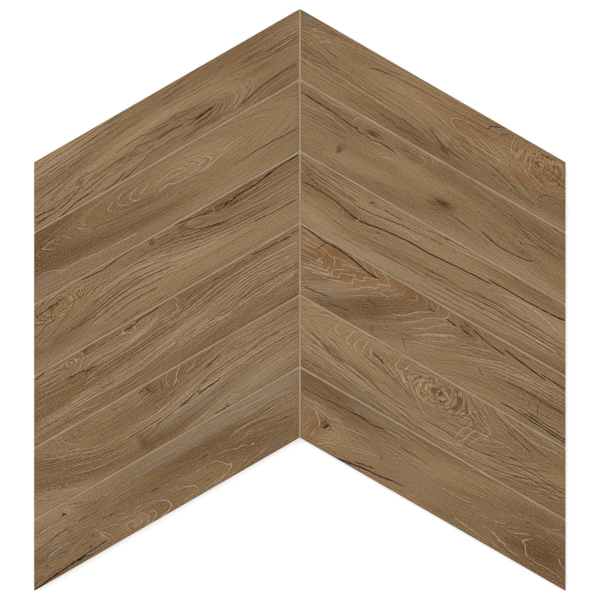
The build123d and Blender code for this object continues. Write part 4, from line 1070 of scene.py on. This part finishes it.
def grain(u, v, spec, seed):
    """The fibre and growth coordinates of a plank, and how knotty each place is."""
    jagged = pushed(u, u, v, HEART_WAVES, seed)
    u = pushed(u, u, v, GRAIN_WAVES_U, seed)
    across = pushed(v, u, v, GRAIN_WAVES_V, seed)
    rings_inside = np.zeros_like(u)
    knotty = np.zeros_like(u)
    for knot_u, knot_v, length, width, rings, darkness in spec.get("knots", ()):
        out_u, out_v = (u - knot_u) / length, (across - knot_v) / width
        out = np.hypot(out_u, out_v)
        flow = np.clip(1 - 1 / np.maximum(out, 1e-6) ** 2, 0, 1)
        across = knot_v + (across - knot_v) * flow
        rings_inside += rings * np.clip(1 - out, 0, 1)
        knotty = np.maximum(knotty, darkness * smooth_step(1 - out, *KNOT_DARK))
    heart_v, depth, lift = (smooth_path(jagged, spec["heart"], column) for column in (1, 2, 3))
    swollen = np.zeros_like(u)
    for *patch, rise in spec.get("swells", ()):
        swollen += rise * soft_patch(u, v, *patch)
    inside = rings_inside * spec["ring"]
    fibre = across - heart_v + SWELL_ON_FIBRE * swollen + inside
    growth = np.hypot(across - heart_v, depth) + lift + swollen + inside
    return fibre, growth, knotty


def first_seed(name):
    """The first of the numbers that a plank's noises start from."""
    return SEED_STEP * list(PLANKS).index(name)


def plank_fields(name, u, v):
    """Every value that the material and the relief of a plank read, at the places (u, v)."""
    spec = PLANKS[name]
    seed = first_seed(name)
    fibre, growth, knotty = grain(u, v, spec, seed)
    rise_u = (grain(u + RISE_STEP, v, spec, seed)[1] - growth) / RISE_STEP
    rise_v = (grain(u, v + RISE_STEP, spec, seed)[1] - growth) / RISE_STEP
    rise = np.maximum(np.hypot(rise_u, rise_v), LEAST_RISE)
    ring = growth / spec["ring"]
    ring = pushed(ring, ring, 0 * ring, RING_WAVES, seed)
    mark_u = pushed(u, u, v, MARK_WAVES_U, seed)
    mark_v = pushed(v, u, v, MARK_WAVES_V, seed)
    tone, warmth, lime = np.full_like(u, spec["tone"]), np.zeros_like(u), np.zeros_like(u)
    for *patch, dark, warm, pale in spec.get("stains", ()):
        cover = soft_patch(mark_u, mark_v, *patch)
        tone += dark * cover
        warmth += warm * cover
        lime += pale * cover
    lined = np.full_like(u, spec["figure"])
    for *patch, more in spec.get("lined", ()):
        lined += more * soft_patch(u, v, *patch)
    return dict(
        grain=(u, fibre + seed, growth + seed),
        rings=(ring, spec["ring"] / rise, np.maximum(lined, 0)),
        # The first number of edge holds the painted shade and light of the bevels, which make_plank sets
        edge=(np.zeros_like(u), smooth_step(rise, *STEEP), knotty),
        stain=(tone, warmth, np.clip(lime, 0, 1)),
        crack=nearest_line(mark_u, mark_v, spec.get("cracks", ())),
        limed=nearest_line(mark_u, mark_v, spec.get("limed", ())),
    )


def relief(name, fields):
    """Depth in millimetres that each place lies below the plain face."""
    u, fibre, growth = fields["grain"]
    ring, spacing, lined = fields["rings"]
    _, crack, crack_width = fields["crack"]
    near = np.abs(ring - np.round(ring)) * spacing
    lines = ripple(u, growth, *FIBRE_REACH, first_seed(name) + FIBRE_NOISE)
    crack_share = np.clip(crack_width - PRINTED_CRACK, 0, 1)
    return (
        CRACK_DEPTH * crack_share * (1 - smooth_step(crack, *CRACK_SLOPE))
        + RING_DEPTH * (1 - smooth_step(near, *RING_SLOPE)) * np.clip(lined, 0, 1)
        + FIBRE_DEPTH * np.clip(lines, 0, 1)
    )


class Builder:
    """Collects the corners and faces of one mesh, and what kind each face is."""

    def __init__(self):
        self.points, self.faces, self.kinds = [], [], []
        self.count = 0

    def add_points(self, points):
        """Adds corners and returns their numbers."""
        self.points.append(points)
        self.count += len(points)
        return np.arange(self.count - len(points), self.count)

    def add_faces(self, faces, kind):
        self.faces += [list(map(int, face)) for face in faces]
        self.kinds += [kind] * len(faces)


def add_object(name, data):
    """A new object in the scene that holds a mesh, a light or a camera."""
    piece = bpy.data.objects.new(name, data)
    bpy.context.scene.collection.objects.link(piece)
    return piece


def add_mesh(name, points, faces):
    """A new mesh in the scene, from corners in millimetres."""
    data = bpy.data.meshes.new(name)
    data.from_pydata(points * MM, [], faces)
    data.update()
    return add_object(name, data)


def place_on_sheet(side, row, s, t, z):
    """A place on a plank: s of the way from the centre joint, t of the way down the width."""
    x = JOINT / 2 + s * reach
    y = point_y - row * row_pitch - x * tan(SLOPE) - t * mitre_height
    return np.stack([side * x, y, z + 0 * x], axis=-1)


def along_and_across(s, t):
    """The same place as (u, v), in millimetres along and across the plank."""
    v = t * PLANK_WIDTH
    return v * tan(SLOPE) + s * PLANK_LENGTH, v


def key_profile():
    """The back of a plank in section, as (t, z), with its keying grooves."""
    count = floor((PLANK_WIDTH - 2 * KEY_MARGIN - KEY_WIDTH) / KEY_PITCH) + 1
    profile = [(0.0, plank_low)]
    for groove in range(count):
        middle = PLANK_WIDTH / 2 + (groove - (count - 1) / 2) * KEY_PITCH
        start, end = middle - KEY_WIDTH / 2, middle + KEY_WIDTH / 2
        for v, z in ((start, 0), (start, KEY_DEPTH), (end, KEY_DEPTH), (end, 0)):
            profile.append((v / PLANK_WIDTH, plank_low + z))
    profile.append((1.0, plank_low))
    return np.array(profile)


def once_round(values):
    """The values along the rim of a grid, once round."""
    return np.concatenate([values[:-1, 0], values[-1, :-1], values[:0:-1, -1], values[0, :0:-1]])


def add_back(mesh, side, row, profile, lip):
    """The keyed back, with the long sides and mitred ends that join it to the bevels."""
    inner_end, outer_end = (
        mesh.add_points(place_on_sheet(side, row, np.full(len(profile), end), *profile.T))
        for end in (0.0, 1.0)
    )
    strips = np.stack([inner_end[:-1], outer_end[:-1], outer_end[1:], inner_end[1:]], axis=-1)
    mesh.add_faces(strips, BACK)
    starts = np.cumsum([0, CELLS_ALONG, CELLS_ACROSS, CELLS_ALONG])
    upper, outer, lower, inner = (
        list(np.roll(lip, -start)[: length + 1])
        for start, length in zip(starts, [CELLS_ALONG, CELLS_ACROSS] * 2)
    )
    mesh.add_faces([upper + [outer_end[0], inner_end[0]]], SIDE)
    mesh.add_faces([outer + list(outer_end[::-1])], END)
    mesh.add_faces([lower + [inner_end[-1], outer_end[-1]]], SIDE)
    mesh.add_faces([inner + list(inner_end)], END)


def make_plank(side, row, materials):
    """One plank, with the relief of its face as real mesh."""
    column = "left" if side < 0 else "right"
    name = f"plank_{column}_{row + 1}"
    mesh = Builder()
    s, t = np.meshgrid(
        np.linspace(bevel_s, 1 - bevel_s, CELLS_ALONG + 1),
        np.linspace(bevel_t, 1 - bevel_t, CELLS_ACROSS + 1),
        indexing="ij",
    )
    depth = relief(name, plank_fields(name, *along_and_across(s, t)))
    top = place_on_sheet(side, row, s, t, plank_high - depth)
    grid = mesh.add_points(top.reshape(-1, 3)).reshape(s.shape)
    cells = np.stack([grid[:-1, :-1], grid[:-1, 1:], grid[1:, 1:], grid[1:, :-1]], axis=-1)
    mesh.add_faces(cells.reshape(-1, 4), FACE)

    rim = once_round(grid)
    rim_s = (once_round(s) - bevel_s) / (1 - 2 * bevel_s)
    rim_t = (once_round(t) - bevel_t) / (1 - 2 * bevel_t)
    lip = mesh.add_points(place_on_sheet(side, row, rim_s, rim_t, plank_high - EDGE_BEVEL))
    bevels = np.stack([rim, np.roll(rim, -1), np.roll(lip, -1), lip], axis=-1)
    mesh.add_faces(bevels, BEVEL)
    profile = key_profile()
    add_back(mesh, side, row, profile, lip)

    all_s = np.concatenate([s.ravel(), rim_s, np.zeros(len(profile)), np.ones(len(profile))])
    all_t = np.concatenate([t.ravel(), rim_t, profile[:, 0], profile[:, 0]])
    fields = plank_fields(name, *along_and_across(all_s, all_t))
    outer_edge = rim_s == 1
    if row == 0:
        outer_edge |= rim_t == 0
    if row == ROWS - 1:
        outer_edge |= rim_t == 1
    # Painted shade on the bevels along the outline of the sheet, and painted light on those along the
    # joints
    fields["edge"][0][lip] = np.where(outer_edge, OUTER_BEVEL_SHADE, JOINT_BEVEL_LIGHT)
    piece = finish_plank("wood_" + name, mesh, side)
    carry_fields(piece, fields)
    unfold(piece, mesh, all_s, all_t)
    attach(piece, "root")
    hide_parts(name)
    for material in materials:
        piece.data.materials.append(material)


def finish_plank(name, mesh, side):
    """Turns the collected corners and faces into an object. The left side is a mirror image."""
    faces = mesh.faces if side > 0 else [face[::-1] for face in mesh.faces]
    piece = add_mesh(name, np.concatenate(mesh.points), faces)
    kinds = np.array(mesh.kinds)
    piece.data.polygons.foreach_set("use_smooth", kinds == FACE)
    piece.data.polygons.foreach_set("material_index", (kinds >= SIDE).astype(np.int32))
    piece.data.update()
    return piece


def carry_fields(piece, fields):
    """Stores the fields on the corners, for the material to read."""
    for name, parts in fields.items():
        attribute = piece.data.attributes.new(name, "FLOAT_VECTOR", "POINT")
        values = np.stack(parts, axis=-1).astype(np.float32)
        attribute.data.foreach_set("vector", values.ravel())


def unfold(piece, mesh, s, t):
    """A map that gives the face three quarters of its picture and the rest the other sides."""
    loops = np.zeros(len(piece.data.loops), np.int32)
    piece.data.loops.foreach_get("vertex_index", loops)
    sizes = np.zeros(len(piece.data.polygons), np.int32)
    piece.data.polygons.foreach_get("loop_total", sizes)
    kinds = np.repeat(np.array(mesh.kinds), sizes)
    height = (np.concatenate(mesh.points)[:, 2] - plank_low) / (plank_high - plank_low)
    across = np.where((kinds == SIDE) | (kinds == END), height[loops], t[loops])
    end_along = MAP_END_LENGTH * t[loops] + MAP_END_SHIFT * (s[loops] > 0.5)
    along = np.where(kinds == END, end_along, s[loops])
    low, high = np.array(MAP_BANDS)[kinds].T
    across = np.clip(across, 0, 1) * (high - low) + low
    places = np.stack([along, across], axis=-1).astype(np.float32)
    layer = piece.data.uv_layers.new(name="OFBake")
    layer.data.foreach_set("uv", places.ravel())


def as_linear(colour):
    """A colour of 0 to 255, as seen on a screen, as the linear colour that Blender works in."""
    shares = np.array(colour) / 255
    linear = np.where(shares <= 0.04045, shares / 12.92, ((shares + 0.055) / 1.055) ** 2.4)
    return (*linear, 1.0)


class Shader:
    """Short names for the nodes that the materials are made of."""

    def __init__(self, name):
        self.material = bpy.data.materials.new(name)
        self.material.use_nodes = True
        self.tree = self.material.node_tree
        self.surface = self.tree.nodes["Principled BSDF"]

    def set(self, socket, value):
        if isinstance(value, bpy.types.NodeSocket):
            self.tree.links.new(value, socket)
        else:
            socket.default_value = value

    def node(self, kind, *values):
        """A new node, with values for its first inputs."""
        node = self.tree.nodes.new("ShaderNode" + kind)
        for socket, value in zip(node.inputs, values):
            self.set(socket, value)
        return node

    def math(self, operation, *values):
        node = self.node("Math", *values)
        node.operation = operation
        return node.outputs[0]

    def add(self, a, b):
        return self.math("ADD", a, b)

    def times(self, a, b):
        return self.math("MULTIPLY", a, b)

    def larger(self, a, b):
        return self.math("MAXIMUM", a, b)

    def step(self, value, low, high, to_low=0.0, to_high=1.0):
        """to_low below low and to_high above high, with an even change between them."""
        node = self.node("MapRange", value, low, high, to_low, to_high)
        node.interpolation_type = "SMOOTHSTEP"
        return node.outputs[0]

    def band(self, value, start, full, fade, end):
        """1 from full to fade, and down to 0 at start and at end."""
        return self.times(self.step(value, start, full), self.step(value, fade, end, 1.0, 0.0))

    def carried(self, name):
        """The three numbers of an attribute that the mesh carries."""
        node = self.node("Attribute")
        node.attribute_name = name
        return self.node("SeparateXYZ", node.outputs["Vector"]).outputs

    def place(self, x, y):
        return self.node("CombineXYZ", x, y).outputs[0]

    def noise(self, place, scale=1.0, detail=2.0, roughness=0.5, flat=False):
        node = self.node("TexNoise")
        node.noise_dimensions = "2D" if flat else "3D"
        self.set(node.inputs["Vector"], place)
        self.set(node.inputs["Scale"], scale)
        self.set(node.inputs["Detail"], detail)
        self.set(node.inputs["Roughness"], roughness)
        return node.outputs["Fac"]

    def chance(self, value):
        """A number from 0 to 1 that is the same for equal values."""
        node = self.node("TexWhiteNoise")
        node.noise_dimensions = "1D"
        self.set(node.inputs["W"], value)
        return node.outputs["Value"]

    def ramp(self, value, stops):
        node = self.node("ValToRGB", value)
        elements = node.color_ramp.elements
        while len(elements) < len(stops):
            elements.new(0.5)
        for element, (position, colour) in zip(elements, stops):
            element.position = position
            element.color = as_linear(colour)
        return node.outputs["Color"]

    def mix(self, amount, first, second):
        node = self.node("Mix")
        node.data_type = "RGBA"
        colours = [socket for socket in node.inputs if socket.type == "RGBA"]
        self.set(node.inputs[0], amount)
        self.set(colours[0], first)
        self.set(colours[1], second)
        return next(socket for socket in node.outputs if socket.type == "RGBA")

    def bump(self, height, distance, strength):
        node = self.node("Bump")
        self.set(node.inputs["Height"], height)
        self.set(node.inputs["Distance"], distance)
        self.set(node.inputs["Strength"], strength)
        return node.outputs["Normal"]

    def finish(self, values):
        """Gives the surface its values, by name, and returns the material."""
        for name, value in values.items():
            self.set(self.surface.inputs[name], value)
        return self.material


def glazed_face():
    """Matt porcelain glaze printed with planks of worn, limed oak."""
    m = Shader("glazed_face")
    u, fibre, growth = m.carried("grain")
    ring, spacing, lined = m.carried("rings")
    edge, steep, knotty = m.carried("edge")
    tone, warmth, lime = m.carried("stain")

    def drawn(name, half):
        """How much a drawn line covers, how far beyond it a place lies, and how wide it is."""
        signed, nearest, width = m.carried(name)
        offset = m.math("ABSOLUTE", signed)
        inside = m.step(m.add(offset, m.times(width, -half)), -0.10, 0.10, 1.0, 0.0)
        return m.times(inside, m.step(nearest, 0.40, 0.65, 1.0, 0.0)), signed, width

    def streaks(across, length, width, detail=1.0):
        """Noise drawn out along the plank: length and width of its streaks in millimetres."""
        place = m.place(m.times(u, 1 / length), m.times(across, 1 / width))
        return m.add(m.noise(place, detail=detail, flat=True), -0.5)

    def ridges(across, length, width):
        """Streaks that are pale along one side and dark along the other."""
        behind = streaks(m.add(across, 0.8 * width), length, width, 0)
        return m.add(streaks(across, length, width, 0), m.times(behind, -1.0))

    # Fibres, which are noise drawn out along the rings or along the plank
    lively = m.times(steep, m.step(lined, -0.2, 1.2, 0.35, 1.0))
    lines = m.times(ridges(growth, 120, 1.1), lively)
    fine = m.times(ridges(growth, 60, 0.55), lively)
    breaks = streaks(fibre, 2.4, 0.9, 0)
    leaning = m.place(m.times(m.add(u, m.times(fibre, 0.6)), 1 / 0.8), m.times(fibre, 1 / 2.6))

    # Ring lines: each has its own strength, and fades in and out along the plank
    number = m.math("ROUND", ring)
    luck = m.chance(number)
    beyond = m.times(m.add(ring, m.times(number, -1.0)), spacing)
    thin = m.step(m.math("ABSOLUTE", beyond), 0.05, 0.45, 1.0, 0.0)
    shine = m.band(beyond, 0.3, 0.7, 0.8, 1.6)
    fading = m.step(m.noise(m.place(m.times(u, 1 / 26), ring), flat=True), 0.36, 0.62)
    strong = m.times(m.times(lined, fading), m.add(0.25, luck))

    # Drawn lines
    limed, limed_side, limed_width = drawn("limed", LIMED_HALF)
    broken, broken_side, broken_width = drawn("crack", CRACK_HALF)

    layers = dict(
        clouds=streaks(growth, 160, 18),
        bands=streaks(growth, 140, 2.6),
        lines=lines,
        fine=fine,
        dashes=ridges(fibre, 9, 0.42),
        specks=streaks(fibre, 0.6, 0.40, 0),
        flecks=m.add(m.noise(leaning, detail=0, flat=True), -0.5),
        rings=m.times(thin, strong),
        ring_shine=m.times(shine, strong),
        # Painted shade and light on the bevels
        edge=edge,
        shade=m.times(m.band(limed_side, *BESIDE), m.step(limed_width, 0.3, 0.8)),
        glint=m.times(m.band(broken_side, *BESIDE), m.step(broken_width, 0.2, 0.7)),
    )
    value = m.add(MIDDLE_TONE, m.times(tone, TONE_STRENGTH))
    for name, strength in LAYERS.items():
        value = m.add(value, m.times(layers[name], strength))
    wood = m.ramp(value, WOOD)

    # Warmer and greyer wood
    warm = m.add(warmth, m.times(streaks(fibre, 60, 7), 0.5))
    wood = m.mix(m.step(warm, 0.0, 1.2, 0.0, 0.55), wood, as_linear(WARM))
    grey = m.times(m.step(warm, 0.0, -1.2, 0.0, 0.6), m.add(0.7, m.times(fine, 2.0)))
    wood = m.mix(grey, wood, as_linear(GREY))

    # Lime in the rings of some patches and in the drawn pale lines, broken up along its way
    chosen = m.step(m.add(luck, lime), 0.95, 1.02)
    faded = m.add(0.4, m.times(fading, 0.6))
    lime_lines = m.times(m.times(thin, m.step(lime, 0.05, 0.5)), m.times(chosen, faded))
    pale = m.times(m.larger(lime_lines, limed), m.step(breaks, -0.30, 0.10, 0.30, 1.0))
    whiteness = m.larger(m.step(limed_width, 0.5, 0.95), m.step(lime, 0.2, 0.6))
    lime_colour = m.mix(whiteness, as_linear(LIMED_THIN), as_linear(LIMED))
    wood = m.mix(m.times(pale, 0.9), wood, lime_colour)

    # Knots and cracks
    wood = m.mix(m.times(knotty, 0.75), wood, as_linear(KNOT))
    dark = m.mix(m.step(broken_width, 0.45, 0.85), as_linear(VEIN), as_linear(CRACK))
    wood = m.mix(m.times(broken, m.step(breaks, -0.4, 0.0, 0.5, 1.0)), wood, dark)
    rough = m.larger(m.add(0.60, m.times(fine, 0.2)), m.step(broken, 0.0, 0.5, 0.0, 0.95))
    height = m.add(m.times(lines, 0.5), m.times(fine, 0.35))
    return m.finish(
        {
            "Base Color": wood,
            "Roughness": rough,
            "Specular IOR Level": 0.22,
            "Normal": m.bump(height, 0.00010, 0.5),
        }
    )


def plain_material(name):
    """A material whose colour, gloss and bump come from noise alone."""
    spec = PLAIN[name]
    m = Shader(name)
    where = m.node("TexCoord").outputs["Object"]
    value = 0.0
    for scale, detail, roughness, share in spec["noises"]:
        speck = m.noise(where, scale, detail, roughness)
        value = m.add(value, m.times(speck, share))
    least, more = spec["gloss"]
    return m.finish(
        {
            "Base Color": m.ramp(value, spec["colours"]),
            "Roughness": m.add(least, m.times(speck, more)),
            "Normal": m.bump(speck, *spec["bump"]),
        }
    )


def net_spans(place, along_x):
    """Where a strand at that place is inside the outline of the net, as (start, end)."""
    end = half_sheet - NET_INSET
    shift = NET_INSET / cos(SLOPE)
    top, bottom = point_y - shift, point_y - side_height + shift
    if not along_x:
        drop = abs(place) * tan(SLOPE)
        return [(bottom - drop, top - drop)]
    highest, lowest = top - place, bottom - place
    far = min(end, highest / tan(SLOPE))
    near = max(0.0, lowest / tan(SLOPE))
    if far <= near:
        return []
    return [(-far, far)] if near == 0 else [(-far, -near), (near, far)]


def add_strand(mesh, along_x, number, start, end):
    """One flat strand that passes over one crossing and under the next."""
    first, last = np.ceil(start / NET_PITCH), np.floor(end / NET_PITCH)
    crossings = np.arange(first, last + 1)
    at = np.concatenate([[start], crossings * NET_PITCH, [end]])
    at, kept = np.unique(at, return_index=True)
    over = np.where((crossings + number) % 2 == 0, 1.0, -1.0) * (1 if along_x else -1)
    heights = np.concatenate([[0.0], over, [0.0]])[kept] * net_lift + net_middle
    section = [
        (-STRAND_WIDTH / 2, 0),
        (0, -STRAND_THICKNESS / 2),
        (STRAND_WIDTH / 2, 0),
        (0, STRAND_THICKNESS / 2),
    ]
    rings = []
    for side_step, height_step in section:
        line = np.full(len(at), number * NET_PITCH + side_step)
        x, y = (at, line) if along_x else (line, at)
        rings.append(mesh.add_points(np.stack([x, y, heights + height_step], axis=-1)))
    if not along_x:
        rings = rings[::-1]
    for ring, following in zip(rings, rings[1:] + rings[:1]):
        faces = np.stack([ring[:-1], ring[1:], following[1:], following[:-1]], axis=-1)
        mesh.add_faces(faces, FACE)
    mesh.add_faces([[ring[0] for ring in rings]], FACE)
    mesh.add_faces([[ring[-1] for ring in rings][::-1]], FACE)


def make_net(material):
    """The woven net, in place of the plain sheet that stands in for it."""
    mesh = Builder()
    for along_x, farthest in ((False, half_sheet - NET_INSET), (True, point_y)):
        most = floor(farthest / NET_PITCH)
        for number in range(-most, most + 1):
            for start, end in net_spans(number * NET_PITCH, along_x):
                if end - start > NET_PITCH:
                    add_strand(mesh, along_x, number, start, end)
    piece = add_mesh("woven_net", np.concatenate(mesh.points), mesh.faces)
    piece.data.materials.append(material)
    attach(piece, "root")
    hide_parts("backing_net")


def make_floor():
    """A white floor: plain white to the camera and to gloss, but for the shadow on it."""
    signs = np.array([(-1, -1), (1, -1), (1, 1), (-1, 1)])
    corners = np.column_stack([signs * FLOOR_SIZE, np.full(4, -FLOOR_DROP)])
    floor_piece = add_mesh("floor", corners / MM, [(0, 1, 2, 3)])
    m = Shader("white_floor")
    seen = m.node("LightPath").outputs
    white = m.finish(
        {
            "Base Color": (0.85, 0.85, 0.85, 1),
            "Roughness": 0.9,
            "Specular IOR Level": 0.0,
            "Emission Color": (1, 1, 1, 1),
            "Emission Strength": m.times(
                m.larger(seen["Is Camera Ray"], seen["Is Glossy Ray"]), FLOOR_GLOW
            ),
        }
    )
    floor_piece.data.materials.append(white)


def make_lights():
    """White surroundings and two lamps that face the sheet."""
    world = bpy.data.worlds.new("studio")
    bpy.context.scene.world = world
    world.use_nodes = True
    tree = world.node_tree
    background = tree.nodes["Background"]
    background.inputs["Color"].default_value = (1, 1, 1, 1)
    seen = tree.nodes.new("ShaderNodeLightPath")
    strength = tree.nodes.new("ShaderNodeMapRange")
    tree.links.new(seen.outputs["Is Camera Ray"], strength.inputs["Value"])
    strength.inputs["To Min"].default_value = WORLD_LIGHT
    strength.inputs["To Max"].default_value = 1.0
    tree.links.new(strength.outputs[0], background.inputs["Strength"])
    for name, spec in LAMPS.items():
        lamp = bpy.data.lights.new(name, "AREA")
        lamp.size = spec["size"]
        lamp.energy = spec["power"]
        holder = add_object(name, lamp)
        holder.location = spec["place"]
        direction = -holder.location
        holder.rotation_euler = direction.to_track_quat("-Z", "Y").to_euler()


def make_camera():
    """A camera that looks straight down on the sheet."""
    data = bpy.data.cameras.new("camera")
    data.lens = LENS
    data.sensor_width = SENSOR
    camera = add_object("camera", data)
    camera.location = (AIM[0] * MM, AIM[1] * MM, (plank_high + VIEW_WIDTH * LENS / SENSOR) * MM)
    bpy.context.scene.camera = camera


porcelain = (glazed_face(), plain_material("porcelain_body"))
for side in (-1, 1):
    for row in range(ROWS):
        make_plank(side, row, porcelain)
make_net(plain_material("net_strands"))
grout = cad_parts["grout"]
grout.data.materials.clear()
grout.data.materials.append(plain_material("sanded_grout"))
make_floor()
make_lights()
make_camera()
bpy.context.scene.view_settings.view_transform = "Standard"
